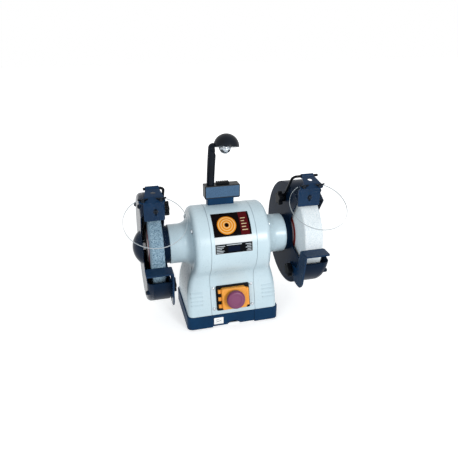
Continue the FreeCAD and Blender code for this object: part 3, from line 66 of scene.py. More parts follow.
class Side(Enum):
    """Wheel station, as the operator sees it."""

    LEFT = -1
    RIGHT = 1

    @property
    def word(self) -> str:
        """Name used in the nodes of this side."""
        return self.name.lower()


class Head(Enum):
    """Shape of a screw's head."""

    CROSS = "cross"
    WING = "wing"


class Lay(Enum):
    """Direction of the tool marks on bare metal."""

    ROLLED = "rolled"
    TURNED = "turned"


def linear(hex_colour: str) -> Colour:
    """Turns an sRGB hex value into linear light.

    Args:
        hex_colour: Colour such as "#C8DBE3".

    Returns:
        Linear red, green, blue and a full alpha.
    """
    digits = hex_colour.lstrip("#")
    channels = [int(digits[i:i + 2], 16) / 255 for i in (0, 2, 4)]
    light = [c / 12.92 if c <= 0.04045 else ((c + 0.055) / 1.055) ** 2.4 for c in channels]
    return (light[0], light[1], light[2], 1.0)


def add_node(tree: Tree, kind: str, inputs: dict[Any, Any] | None = None, **settings: Any) -> Node:
    """Adds one node with its settings and links.

    Args:
        tree: Node tree that takes the node.
        kind: Blender's identifier of the node.
        inputs: Socket name or number, with a value, or with the socket or node that feeds it.
            A node feeds from the first output that its settings leave in use. Sockets are counted
            where their names repeat: a colour Mix has its share at 0 and its colours at 6 and 7, a
            Map Range reads 0 from 1 to 2 and gives it from 3 to 4.
        settings: Properties of the node.

    Returns:
        The new node.
    """
    node = tree.nodes.new(kind)
    for key, value in settings.items():
        setattr(node, key, value)
    for key, value in (inputs or {}).items():
        if isinstance(value, bpy.types.Node):
            value = next(output for output in value.outputs if output.enabled)
        if isinstance(value, bpy.types.NodeSocket):
            tree.links.new(value, node.inputs[key])
        else:
            node.inputs[key].default_value = value
    return node


def millimetres(tree: Tree) -> Node:
    """Object coordinates of a surface in millimetres.

    Args:
        tree: Material's node tree.

    Returns:
        Vector node.
    """
    place = add_node(tree, "ShaderNodeTexCoord").outputs["Object"]
    return add_node(tree, "ShaderNodeVectorMath", {0: place, "Scale": PER_MM}, operation="SCALE")


def soften_edges(tree: Tree, radius_mm: float) -> tuple[Node, Node]:
    """Softened normal along sharp edges, and how near an edge a point lies.

    Args:
        tree: Material's node tree.
        radius_mm: Reach of the softening.

    Returns:
        Normal node, and a node from 0 on flat faces to 1 on an edge.
    """
    soft = add_node(tree, "ShaderNodeBevel", {"Radius": radius_mm * MM}, samples=BEVEL_SAMPLES)
    true = add_node(tree, "ShaderNodeNewGeometry").outputs["Normal"]
    agree = add_node(tree, "ShaderNodeVectorMath", {0: soft, 1: true}, operation="DOT_PRODUCT")
    return soft, add_node(tree, "ShaderNodeMapRange", {0: agree, 1: EDGE_SPAN[0], 2: EDGE_SPAN[1]})


def two_tones(tree: Tree, pattern: Feed, span: Pair, first: str | Node, second: str) -> Node:
    """Colour that runs from one tone to another while a pattern runs through a span.

    Args:
        tree: Material's node tree.
        pattern: Value that picks the tone.
        span: Values of the pattern at the first and at the second tone.
        first: First colour, or the node that gives it.
        second: Second colour.

    Returns:
        Colour node.
    """
    tone = add_node(tree, "ShaderNodeMapRange", {0: pattern, 1: span[0], 2: span[1]})
    start = linear(first) if isinstance(first, str) else first
    return add_node(tree, "ShaderNodeMix", {0: tone, 6: start, 7: linear(second)}, data_type="RGBA")


def between(tree: Tree, value: Feed, low: float, high: float, blur: float) -> Node:
    """Mask of the values between two limits.

    Args:
        tree: Material's node tree.
        value: Value to test.
        low: Lower limit.
        high: Upper limit.
        blur: Softness of the limits.

    Returns:
        Node that is 1 between the limits and 0 outside them.
    """
    off = add_node(tree, "ShaderNodeMath", {0: value, 1: (low + high) / 2}, operation="SUBTRACT")
    away = add_node(tree, "ShaderNodeMath", {0: off}, operation="ABSOLUTE")
    reach = (high - low) / 2
    return add_node(tree, "ShaderNodeMapRange", {0: away, 1: reach + blur, 2: reach - blur})


class Finish:
    """A real material, whose node tree is built once and then shared."""

    name: str

    def material(self) -> bpy.types.Material:
        """Material of this finish, made at its first use.

        Returns:
            The material.
        """
        found = bpy.data.materials.get(self.name)
        if found is not None:
            return found
        made = bpy.data.materials.new(self.name)
        made.use_nodes = True
        made.node_tree.nodes.clear()
        add_node(made.node_tree, "ShaderNodeOutputMaterial",
                 {"Surface": self.shade(made.node_tree)})
        return made

    def shade(self, tree: Tree) -> Node:
        """Builds the surface; each finish has its own."""
        raise NotImplementedError


@dataclass(frozen=True)
class StovedEnamel(Finish):
    """Sprayed and stoved enamel on metal: a faint orange peel, soft gloss and paler edges as a
    painted highlight.
    """

    name: str
    colour: str
    thin_colour: str
    # paler colour of the edges: a painted highlight
    edge_highlight_colour: str
    roughness: float
    gloss: float
    edge_highlight_share: float = 0.5
    cloud_mm: float = 55.0
    cloud_span: Pair = (0.35, 0.7)
    patch_mm: float = 4.0
    patch_span: Pair = (0.42, 0.62)
    patch_dull: Pair = (-0.06, 0.08)
    peel_mm: float = 2.4
    peel_depth_mm: float = 0.02
    edge_mm: float = 0.7

    def shade(self, tree: Tree) -> Node:
        """Clouded colour, orange-peel bump and a painted highlight on the edges.

        Args:
            tree: Material's node tree.

        Returns:
            Shader node.
        """
        place = millimetres(tree)
        cloud = add_node(tree, "ShaderNodeTexNoise", {
            "Vector": place, "Scale": 1 / self.cloud_mm, "Detail": 3.0})
        paint = two_tones(tree, cloud, self.cloud_span, self.colour, self.thin_colour)
        soft, near = soften_edges(tree, self.edge_mm)
        patch = add_node(tree, "ShaderNodeTexNoise", {
            "Vector": place, "Scale": 1 / self.patch_mm, "Detail": 4.0})
        # paler edges, broken into patches: a painted highlight
        patchy_highlight = add_node(tree, "ShaderNodeMapRange", {
            0: patch, 1: self.patch_span[0], 2: self.patch_span[1], 4: self.edge_highlight_share})
        lit_edge = add_node(tree, "ShaderNodeMath", {0: near, 1: patchy_highlight}, operation="MULTIPLY")
        colour = add_node(tree, "ShaderNodeMix", {0: lit_edge, 6: paint, 7: linear(self.edge_highlight_colour)},
                          data_type="RGBA")
        peel = add_node(tree, "ShaderNodeTexNoise", {
            "Vector": place, "Scale": 1 / self.peel_mm, "Detail": 2.0})
        bump = add_node(tree, "ShaderNodeBump", {
            "Strength": 0.35, "Distance": self.peel_depth_mm * MM, "Height": peel, "Normal": soft})
        dull = add_node(tree, "ShaderNodeMapRange", {
            0: patch, 3: self.roughness + self.patch_dull[0],
            4: self.roughness + self.patch_dull[1]})
        return add_node(tree, "ShaderNodeBsdfPrincipled", {
            "Base Color": colour, "Roughness": dull, "Normal": bump, "IOR": 1.5,
            "Specular IOR Level": self.gloss})


@dataclass(frozen=True)
class MouldedPlastic(Finish):
    """Injection-moulded plastic: fine spark-eroded grain, even colour and shinier corners.

    Real grain is about 0.2 mm; it is drawn coarser so that it shows."""

    name: str
    colour: str
    grain_colour: str
    roughness: float
    gloss: float = 0.4
    grain_mm: float = 1.1
    grain_depth_mm: float = 0.03
    grain_dull: float = 0.08
    cloud_mm: float = 40.0
    tone_span: Pair = (0.16, 0.36)
    edge_mm: float = 0.6
    edge_share: float = 0.6

    def shade(self, tree: Tree) -> Node:
        """Grain in bump, tone and gloss.

        Args:
            tree: Material's node tree.

        Returns:
            Shader node.
        """
        place = millimetres(tree)
        grain = add_node(tree, "ShaderNodeTexNoise", {
            "Vector": place, "Scale": 1 / self.grain_mm, "Detail": 3.0, "Roughness": 0.6})
        cloud = add_node(tree, "ShaderNodeTexNoise", {
            "Vector": place, "Scale": 1 / self.cloud_mm, "Detail": 2.0})
        both = add_node(tree, "ShaderNodeMath", {0: grain, 1: cloud}, operation="MULTIPLY")
        tone = add_node(tree, "ShaderNodeMapRange",
                        {0: both, 1: self.tone_span[0], 2: self.tone_span[1]})
        body = add_node(tree, "ShaderNodeMix",
                        {0: tone, 6: linear(self.colour), 7: linear(self.grain_colour)},
                        data_type="RGBA")
        soft, near = soften_edges(tree, self.edge_mm)
        shine = add_node(tree, "ShaderNodeMapRange", {
            0: near, 3: self.roughness, 4: self.roughness * self.edge_share})
        dull = add_node(tree, "ShaderNodeMath", {0: tone, 1: self.grain_dull, 2: shine},
                        operation="MULTIPLY_ADD")
        bump = add_node(tree, "ShaderNodeBump", {
            "Strength": 0.5, "Distance": self.grain_depth_mm * MM, "Height": grain, "Normal": soft})
        return add_node(tree, "ShaderNodeBsdfPrincipled", {
            "Base Color": body, "Roughness": dull, "Normal": bump, "IOR": 1.5,
            "Specular IOR Level": self.gloss})


@dataclass(frozen=True)
class KnobPlasticWithPaintedShade(Finish):
    """Moulded stop knob: a satin face and a side painted darker as painted shade, split at a height
    over the panel.

    Its grain is drawn coarser than the real 0.2 mm so that it shows."""

    name: str
    face_colour: str
    painted_shade_side_colour: str
    pale_colour: str
    foot: Point
    out: Point
    split_mm: Pair
    hub_mm: Pair
    hub_lift: float = 0.12
    grain_mm: float = 0.9
    grain_lift: float = 0.25
    edge_mm: float = 0.5

    def shade(self, tree: Tree) -> Node:
        """Face colour, a side darkened as painted shade, and a paler disc in the middle of the
        face.

        Args:
            tree: Material's node tree.

        Returns:
            Shader node.
        """
        place = millimetres(tree)
        local = add_node(tree, "ShaderNodeVectorMath", {0: place, 1: self.foot},
                         operation="SUBTRACT")
        rise = add_node(tree, "ShaderNodeVectorMath", {0: local, 1: self.out},
                        operation="DOT_PRODUCT")
        along = add_node(tree, "ShaderNodeVectorMath", {0: self.out, "Scale": rise},
                         operation="SCALE")
        flat = add_node(tree, "ShaderNodeVectorMath", {0: local, 1: along}, operation="SUBTRACT")
        far = add_node(tree, "ShaderNodeVectorMath", {0: flat}, operation="LENGTH")
        grain = add_node(tree, "ShaderNodeTexNoise", {
            "Vector": place, "Scale": 1 / self.grain_mm, "Detail": 3.0})
        hub = add_node(tree, "ShaderNodeMapRange", {
            0: far, 1: self.hub_mm[0], 2: self.hub_mm[1], 3: self.hub_lift, 4: 0.0})
        lift = add_node(tree, "ShaderNodeMath", {0: grain, 1: self.grain_lift, 2: hub},
                        operation="MULTIPLY_ADD")
        # the side below the split is darker: painted shade
        base = two_tones(tree, rise, self.split_mm, self.painted_shade_side_colour, self.face_colour)
        colour = add_node(tree, "ShaderNodeMix", {0: lift, 6: base, 7: linear(self.pale_colour)},
                          data_type="RGBA")
        soft, _ = soften_edges(tree, self.edge_mm)
        bump = add_node(tree, "ShaderNodeBump", {
            "Strength": 0.4, "Distance": 0.02 * MM, "Height": grain, "Normal": soft})
        return add_node(tree, "ShaderNodeBsdfPrincipled", {
            "Base Color": colour, "Roughness": 0.38, "Normal": bump, "IOR": 1.49})


@dataclass(frozen=True)
class BareMetal(Finish):
    """Plated, rolled or turned metal: fine tool marks that stretch its reflections.

    Real marks are about 0.1 mm apart; they are drawn coarser so that they show."""

    name: str
    colour: str
    mark_colour: str
    roughness: float
    lay: Lay
    mark_mm: float = 0.7
    mark_span: Pair = (0.3, 0.7)
    mark_dull: Pair = (-0.08, 0.1)
    stretch: Point = (0.06, 1.0, 1.0)

    def shade(self, tree: Tree) -> Node:
        """Tool marks along the sheet, or rings about the spindle.

        Args:
            tree: Material's node tree.

        Returns:
            Shader node.
        """
        place = millimetres(tree)
        if self.lay is Lay.TURNED:
            off = add_node(tree, "ShaderNodeVectorMath", {0: place, 1: (0.0, 0.0, SPINDLE_HEIGHT)},
                           operation="SUBTRACT")
            flat = add_node(tree, "ShaderNodeVectorMath", {0: off, 1: (0.0, 1.0, 1.0)},
                            operation="MULTIPLY")
            far = add_node(tree, "ShaderNodeVectorMath", {0: flat}, operation="LENGTH")
            run = add_node(tree, "ShaderNodeSeparateXYZ", {0: place})
            line = add_node(tree, "ShaderNodeMath", {0: far, 1: run}, operation="ADD")
            marks = add_node(tree, "ShaderNodeTexNoise", {
                "W": line, "Scale": 1 / self.mark_mm, "Detail": 2.0}, noise_dimensions="1D")
        else:
            drawn = add_node(tree, "ShaderNodeVectorMath", {0: place, 1: self.stretch},
                             operation="MULTIPLY")
            marks = add_node(tree, "ShaderNodeTexNoise", {
                "Vector": drawn, "Scale": 1 / self.mark_mm, "Detail": 3.0})
        colour = two_tones(tree, marks, self.mark_span, self.colour, self.mark_colour)
        dull = add_node(tree, "ShaderNodeMapRange", {
            0: marks, 3: self.roughness + self.mark_dull[0], 4: self.roughness + self.mark_dull[1]})
        bump = add_node(tree, "ShaderNodeBump",
                        {"Strength": 0.3, "Distance": 0.01 * MM, "Height": marks})
        return add_node(tree, "ShaderNodeBsdfPrincipled", {
            "Base Color": colour, "Metallic": 1.0, "Roughness": dull, "Normal": bump})


@dataclass(frozen=True)
class BondedGrit(Finish):
    """Vitrified wheel: sharp grains of several tones in a porous bond, quite dull.

    Real grit is about 0.3 mm; it is drawn coarser so that it shows."""

    name: str
    bond_colour: str
    dark_colour: str
    light_colour: str
    grit_mm: float
    dark_span: Pair = (0.66, 0.74)
    light_span: Pair = (0.32, 0.24)
    pit_mm: float = 2.6

    def shade(self, tree: Tree) -> Node:
        """Grains in three tones with pits between them.

        Args:
            tree: Material's node tree.

        Returns:
            Shader node.
        """
        place = millimetres(tree)
        grains = add_node(tree, "ShaderNodeTexVoronoi",
                          {"Vector": place, "Scale": 1 / self.grit_mm})
        pick = add_node(tree, "ShaderNodeSeparateColor", {0: grains.outputs["Color"]})
        pits = add_node(tree, "ShaderNodeTexNoise",
                        {"Vector": place, "Scale": 1 / self.pit_mm, "Detail": 4.0})
        first = two_tones(tree, pick, self.dark_span, self.bond_colour, self.dark_colour)
        colour = two_tones(tree, pick, self.light_span, first, self.light_colour)
        rough = add_node(tree, "ShaderNodeMath", {0: grains.outputs["Distance"], 1: pits},
                         operation="ADD")
        bump = add_node(tree, "ShaderNodeBump",
                        {"Strength": 0.6, "Distance": 0.25 * MM, "Height": rough})
        return add_node(tree, "ShaderNodeBsdfPrincipled", {
            "Base Color": colour, "Roughness": 0.9, "Normal": bump, "Specular IOR Level": 0.3})


@dataclass(frozen=True)
class ClearSheet(Finish):
    """Clear polycarbonate: seen straight through, with a ground grey rim and faint scratches."""

    name: str
    colour: str
    rim_colour: str
    middle: Point
    rim_mm: Pair
    rim_dull: float = 0.35
    rim_cover: float = 0.8
    cover: Pair = (0.005, 0.01)             # alpha between the scratches and on them
    scratch_mm: float = 0.9
    scratch_span: Pair = (0.55, 0.85)
    scratch_dull: float = 0.02
    stretch: Point = (1.0, 0.15, 0.15)

    def shade(self, tree: Tree) -> Node:
        """Clear sheet that turns grey and dull at its ground rim.

        A thin flat sheet hardly bends what is behind it, so it is clear by its alpha.

        Args:
            tree: Material's node tree.

        Returns:
            Shader node.
        """
        place = millimetres(tree)
        far = add_node(tree, "ShaderNodeVectorMath", {0: place, 1: self.middle},
                       operation="DISTANCE")
        rim = add_node(tree, "ShaderNodeMapRange", {0: far, 1: self.rim_mm[0], 2: self.rim_mm[1]})
        colour = add_node(tree, "ShaderNodeMix",
                          {0: rim, 6: linear(self.colour), 7: linear(self.rim_colour)},
                          data_type="RGBA")
        drawn = add_node(tree, "ShaderNodeVectorMath", {0: place, 1: self.stretch},
                         operation="MULTIPLY")
        marks = add_node(tree, "ShaderNodeTexNoise", {
            "Vector": drawn, "Scale": 1 / self.scratch_mm, "Detail": 4.0})
        span = {1: self.scratch_span[0], 2: self.scratch_span[1]}
        haze = add_node(tree, "ShaderNodeMapRange", {0: marks, **span, 4: self.scratch_dull})
        dull = add_node(tree, "ShaderNodeMath", {0: rim, 1: self.rim_dull, 2: haze},
                        operation="MULTIPLY_ADD")
        clear = add_node(tree, "ShaderNodeMapRange",
                         {0: marks, **span, 3: self.cover[0], 4: self.cover[1]})
        cover = add_node(tree, "ShaderNodeMix", {0: rim, 2: clear, 3: self.rim_cover})
        return add_node(tree, "ShaderNodeBsdfPrincipled", {
            "Base Color": colour, "Roughness": dull, "IOR": 1.58, "Alpha": cover})


@dataclass(frozen=True)
class SilveredGlass(Finish):
    """Mirrored lamp glass: bright, with the shallow dimples of a reflector and dark painted
    reflections.
    """

    name: str
    colour: str
    painted_reflection_colour: str
    painted_reflection_mm: float = 9.0
    painted_reflection_span: Pair = (0.45, 0.75)
    dimple_mm: float = 3.0

    def shade(self, tree: Tree) -> Node:
        """Mirror with dimples and dark patches that are painted reflections.

        Args:
            tree: Material's node tree.

        Returns:
            Shader node.
        """
        place = millimetres(tree)
        cells = add_node(tree, "ShaderNodeTexVoronoi",
                         {"Vector": place, "Scale": 1 / self.dimple_mm},
                         feature="SMOOTH_F1").outputs["Distance"]
        cloud = add_node(tree, "ShaderNodeTexNoise", {
            "Vector": place, "Scale": 1 / self.painted_reflection_mm, "Detail": 2.0})
        # dark patches mixed into the colour are painted reflections
        colour = two_tones(tree, cloud, self.painted_reflection_span, self.colour, self.painted_reflection_colour)
        bump = add_node(tree, "ShaderNodeBump",
                        {"Strength": 1.0, "Distance": 0.9 * MM, "Height": cells})
        return add_node(tree, "ShaderNodeBsdfPrincipled", {
            "Base Color": colour, "Metallic": 1.0, "Roughness": 0.1, "Normal": bump})


@dataclass(frozen=True)
class SoftRubber(Finish):
    """Moulded rubber: dark, satin, with a dusty bloom.

    Real grain is about 0.2 mm; it is drawn coarser so that it shows."""

    name: str
    colour: str
    bloom_colour: str
    roughness: float
    gloss: float
    bloom_mm: float = 14.0
    bloom_span: Pair = (0.4, 0.75)
    bloom_dull: Pair = (-0.08, 0.1)
    grain_mm: float = 0.8

    def shade(self, tree: Tree) -> Node:
        """Bloom in soft patches along the part.

        Args:
            tree: Material's node tree.

        Returns:
            Shader node.
        """
        place = millimetres(tree)
        cloud = add_node(tree, "ShaderNodeTexNoise", {
            "Vector": place, "Scale": 1 / self.bloom_mm, "Detail": 5.0})
        grain = add_node(tree, "ShaderNodeTexNoise", {
            "Vector": place, "Scale": 1 / self.grain_mm, "Detail": 2.0})
        colour = two_tones(tree, cloud, self.bloom_span, self.colour, self.bloom_colour)
        dull = add_node(tree, "ShaderNodeMapRange", {
            0: cloud, 3: self.roughness + self.bloom_dull[0],
            4: self.roughness + self.bloom_dull[1]})
        bump = add_node(tree, "ShaderNodeBump",
                        {"Strength": 0.3, "Distance": 0.02 * MM, "Height": grain})
        return add_node(tree, "ShaderNodeBsdfPrincipled", {
            "Base Color": colour, "Roughness": dull, "Normal": bump, "IOR": 1.52,
            "Specular IOR Level": self.gloss})


@dataclass(frozen=True)
class BlottingPaper(Finish):
    """Red paper disc between wheel and flange: dull and fibrous.

    Real fibres are thinner than 0.1 mm; they are drawn coarser so that they show."""

    name: str
    colour: str
    fibre_colour: str
    fibre_mm: float = 1.4
    fibre_span: Pair = (0.4, 0.65)

    def shade(self, tree: Tree) -> Node:
        """Paper fibres in two tones.

        Args:
            tree: Material's node tree.

        Returns:
            Shader node.
        """
        fibre = add_node(tree, "ShaderNodeTexNoise", {
            "Vector": millimetres(tree), "Scale": 1 / self.fibre_mm, "Detail": 5.0,
            "Distortion": 1.5})
        colour = two_tones(tree, fibre, self.fibre_span, self.colour, self.fibre_colour)
        bump = add_node(tree, "ShaderNodeBump",
                        {"Strength": 0.4, "Distance": 0.05 * MM, "Height": fibre})
        return add_node(tree, "ShaderNodeBsdfPrincipled", {
            "Base Color": colour, "Roughness": 0.85, "Normal": bump})


@dataclass(frozen=True)
class StackedLayers(Finish):
    """Thin layers side by side along the spindle, as laminations or a coil's wires."""

    name: str
    colour: str
    gap_colour: str
    pitch_mm: float
    metallic: float
    roughness: float
    gap_span: Pair = (0.1, 0.6)

    def shade(self, tree: Tree) -> Node:
        """Bands across the spindle line.

        Args:
            tree: Material's node tree.

        Returns:
            Shader node.
        """
        bands = add_node(tree, "ShaderNodeTexWave", {
            "Vector": millimetres(tree), "Scale": WAVE_LENGTH / self.pitch_mm, "Distortion": 0.6,
            "Detail": 1.0}, bands_direction="X").outputs[1]
        colour = two_tones(tree, bands, self.gap_span, self.gap_colour, self.colour)
        bump = add_node(tree, "ShaderNodeBump",
                        {"Strength": 0.5, "Distance": 0.1 * MM, "Height": bands})
        return add_node(tree, "ShaderNodeBsdfPrincipled", {
            "Base Color": colour, "Metallic": self.metallic, "Roughness": self.roughness,
            "Normal": bump})


@dataclass(frozen=True)
class GrainedFace(Finish):
    """Lamp box: a coarse-grained blue front panel let into a black moulding."""

    name: str
    face_colour: str
    fleck_colour: str
    case_colour: str
    low: Point
    high: Point
    border_mm: float = 1.8
    blur_mm: float = 0.25
    front_mm: Pair = (0.7, 0.4)
    grain_mm: float = 1.5
    fleck_span: Pair = (0.42, 0.6)
    roughness: Pair = (0.42, 0.6)           # of the case and of the panel
    edge_mm: float = 0.6

    def shade(self, tree: Tree) -> Node:
        """Blue panel inside the border of the front, black elsewhere.

        Args:
            tree: Material's node tree.

        Returns:
            Shader node.
        """
        place = millimetres(tree)
        axes = add_node(tree, "ShaderNodeSeparateXYZ", {0: place}).outputs
        panel = add_node(tree, "ShaderNodeMapRange", {
            0: axes[1], 1: self.low[1] + self.front_mm[0], 2: self.low[1] + self.front_mm[1]})
        for axis in (0, 2):
            inside = between(tree, axes[axis], self.low[axis] + self.border_mm,
                             self.high[axis] - self.border_mm, self.blur_mm)
            panel = add_node(tree, "ShaderNodeMath", {0: panel, 1: inside}, operation="MULTIPLY")
        grain = add_node(tree, "ShaderNodeTexNoise", {
            "Vector": place, "Scale": 1 / self.grain_mm, "Detail": 4.0})
        blue = two_tones(tree, grain, self.fleck_span, self.face_colour, self.fleck_colour)
        colour = add_node(tree, "ShaderNodeMix", {0: panel, 6: linear(self.case_colour), 7: blue},
                          data_type="RGBA")
        soft, _ = soften_edges(tree, self.edge_mm)
        dull = add_node(tree, "ShaderNodeMapRange",
                        {0: panel, 3: self.roughness[0], 4: self.roughness[1]})
        bump = add_node(tree, "ShaderNodeBump", {
            "Strength": 0.5, "Distance": 0.06 * MM, "Height": grain, "Normal": soft})
        return add_node(tree, "ShaderNodeBsdfPrincipled", {
            "Base Color": colour, "Roughness": dull, "Normal": bump, "IOR": 1.49,
            "Specular IOR Level": 0.3})


@dataclass(frozen=True)
class LinedShade(Finish):
    """Lamp shade: satin black outside, white stoved lining inside."""

    name: str
    colour: str
    sheen_colour: str
    lining_colour: str
    centre: Point
    lining_mm: Pair
    cloud_mm: float = 16.0
    cloud_span: Pair = (0.35, 0.7)
    cloud_dull: Pair = (0.3, 0.44)
    peel_mm: float = 1.5

    def shade(self, tree: Tree) -> Node:
        """Lining picked by the distance from the shade's centre.

        Args:
            tree: Material's node tree.

        Returns:
            Shader node.
        """
        place = millimetres(tree)
        far = add_node(tree, "ShaderNodeVectorMath", {0: place, 1: self.centre},
                       operation="DISTANCE")
        cloud = add_node(tree, "ShaderNodeTexNoise", {
            "Vector": place, "Scale": 1 / self.cloud_mm, "Detail": 4.0})
        skin = two_tones(tree, cloud, self.cloud_span, self.colour, self.sheen_colour)
        colour = two_tones(tree, far, self.lining_mm, skin, self.lining_colour)
        peel = add_node(tree, "ShaderNodeTexNoise", {
            "Vector": place, "Scale": 1 / self.peel_mm, "Detail": 2.0})
        bump = add_node(tree, "ShaderNodeBump",
                        {"Strength": 0.3, "Distance": 0.02 * MM, "Height": peel})
        dull = add_node(tree, "ShaderNodeMapRange",
                        {0: cloud, 3: self.cloud_dull[0], 4: self.cloud_dull[1]})
        return add_node(tree, "ShaderNodeBsdfPrincipled", {
            "Base Color": colour, "Roughness": dull, "Normal": bump, "IOR": 1.5,
            "Specular IOR Level": 0.16})


@dataclass(frozen=True)
class BarrelPrint(Finish):
    """Print on the barrel's front, laid out in millimetres along the spindle and up the curve."""

    name: str
    left: float
    width: float
    start_deg: float
    end_deg: float
    radius: float = BARREL_RADIUS + 0.4
    blur_mm: float = 0.12
    ripple_mm: float = 9.0
    ripple_dull: Pair = (-0.05, 0.08)

    @property
    def height(self) -> float:
        """Length of the print up the curve, in millimetres."""
        return math.radians(self.end_deg - self.start_deg) * self.radius

    def layout(self, tree: Tree) -> tuple[Node, Node]:
        """Distances from the print's lower left corner.

        Args:
            tree: Material's node tree.

        Returns:
            Nodes with the distance across and up, in millimetres.
        """
        axes = add_node(tree, "ShaderNodeSeparateXYZ", {0: millimetres(tree)}).outputs
        across = add_node(tree, "ShaderNodeMath", {0: axes[0], 1: self.left}, operation="SUBTRACT")
        rise = add_node(tree, "ShaderNodeMath", {0: axes[2], 1: SPINDLE_HEIGHT},
                        operation="SUBTRACT")
        front = add_node(tree, "ShaderNodeMath", {0: axes[1], 1: -1.0}, operation="MULTIPLY")
        turn = add_node(tree, "ShaderNodeMath", {0: rise, 1: front}, operation="ARCTAN2")
        up = add_node(tree, "ShaderNodeMath", {
            0: turn, 1: self.radius, 2: -math.radians(self.start_deg) * self.radius},
            operation="MULTIPLY_ADD")
        return across, up

    def print_bar(self, tree: Tree, axes: tuple[Node, Node], ground: Colour | Node, low: Pair,
                  high: Pair, ink: str) -> Node:
        """Prints one upright bar over what is printed so far.

        Args:
            tree: Material's node tree.
            axes: Nodes from layout.
            ground: Colour or node below the ink.
            low: Lower left corner in millimetres.
            high: Upper right corner in millimetres.
            ink: Colour of the ink.

        Returns:
            Colour node.
        """
        sides = [between(tree, axis, a, b, self.blur_mm) for axis, a, b in zip(axes, low, high)]
        mask = add_node(tree, "ShaderNodeMath", {0: sides[0], 1: sides[1]}, operation="MULTIPLY")
        return add_node(tree, "ShaderNodeMix", {0: mask, 6: ground, 7: linear(ink)},
                        data_type="RGBA")

    def glazed(self, tree: Tree, colour: Node, roughness: float) -> Node:
        """Thin clear film over the print.

        Args:
            tree: Material's node tree.
            colour: Printed colour.
            roughness: Roughness of the film.

        Returns:
            Shader node.
        """
        ripple = add_node(tree, "ShaderNodeTexNoise", {
            "Vector": millimetres(tree), "Scale": 1 / self.ripple_mm, "Detail": 2.0})
        dull = add_node(tree, "ShaderNodeMapRange", {
            0: ripple, 3: roughness + self.ripple_dull[0], 4: roughness + self.ripple_dull[1]})
        bump = add_node(tree, "ShaderNodeBump",
                        {"Strength": 0.2, "Distance": 0.05 * MM, "Height": ripple})
        return add_node(tree, "ShaderNodeBsdfPrincipled", {
            "Base Color": colour, "Roughness": dull, "Normal": bump, "IOR": 1.5,
            "Specular IOR Level": 0.03})


@dataclass(frozen=True)
class WheelPictureFilm(BarrelPrint):
    """Front label: black film with a maroon band, blank cream bars and a plain amber wheel sign."""

    ground: str = "#0A0506"
    band: str = "#4E0D12"
    bars: str = "#D8C49A"
    amber: str = "#D98412"
    pale_amber: str = "#E0B779"
    keyline: str = "#16181C"
    roughness: float = 0.24
    band_ends: Pair = (57.0, 75.0)
    bar_corner: Pair = (60.0, 10.0)
    bar_pitch: float = 6.5
    bar_thickness: float = 1.6
    bar_lengths: tuple[float, ...] = (12.0, 9.0, 11.0, 7.0, 10.0)
    wheel_middle: Pair = (29.0, 24.0)
    wheel_rim: Pair = (20.2, 19.9)
    hub_rim: Pair = (4.6, 4.3)
    ring_pitch: float = 5.2
    ring_span: Pair = (0.1, 0.5)
    keyline_mm: float = 1.2

    def shade(self, tree: Tree) -> Node:
        """Band, bars, ringed disc and keyline.

        Args:
            tree: Material's node tree.

        Returns:
            Shader node.
        """
        axes = self.layout(tree)
        colour = self.print_bar(tree, axes, linear(self.ground), (self.band_ends[0], 0.0),
                                (self.band_ends[1], self.height), self.band)
        left, first = self.bar_corner
        for row, length in enumerate(self.bar_lengths):
            low = first + self.bar_pitch * row
            colour = self.print_bar(tree, axes, colour, (left, low),
                                    (left + length, low + self.bar_thickness), self.bars)
        offs = [add_node(tree, "ShaderNodeMath", {0: axis, 1: middle}, operation="SUBTRACT")
                for axis, middle in zip(axes, self.wheel_middle)]
        flat = add_node(tree, "ShaderNodeCombineXYZ", {0: offs[0], 1: offs[1]})
        far = add_node(tree, "ShaderNodeVectorMath", {0: flat}, operation="LENGTH")
        ring = add_node(tree, "ShaderNodeMath", {0: far, 1: math.tau / self.ring_pitch},
                        operation="MULTIPLY")
        wave = add_node(tree, "ShaderNodeMath", {0: ring}, operation="SINE")
        rings = two_tones(tree, wave, self.ring_span, self.amber, self.pale_amber)
        disc = add_node(tree, "ShaderNodeMapRange",
                        {0: far, 1: self.wheel_rim[0], 2: self.wheel_rim[1]})
        colour = add_node(tree, "ShaderNodeMix", {0: disc, 6: colour, 7: rings}, data_type="RGBA")
        colour = two_tones(tree, far, self.hub_rim, colour, self.ground)
        for side in (0.0, self.width - self.keyline_mm):
            colour = self.print_bar(tree, axes, colour, (side, 0.0),
                                    (side + self.keyline_mm, self.height), self.keyline)
        return self.glazed(tree, colour, self.roughness)


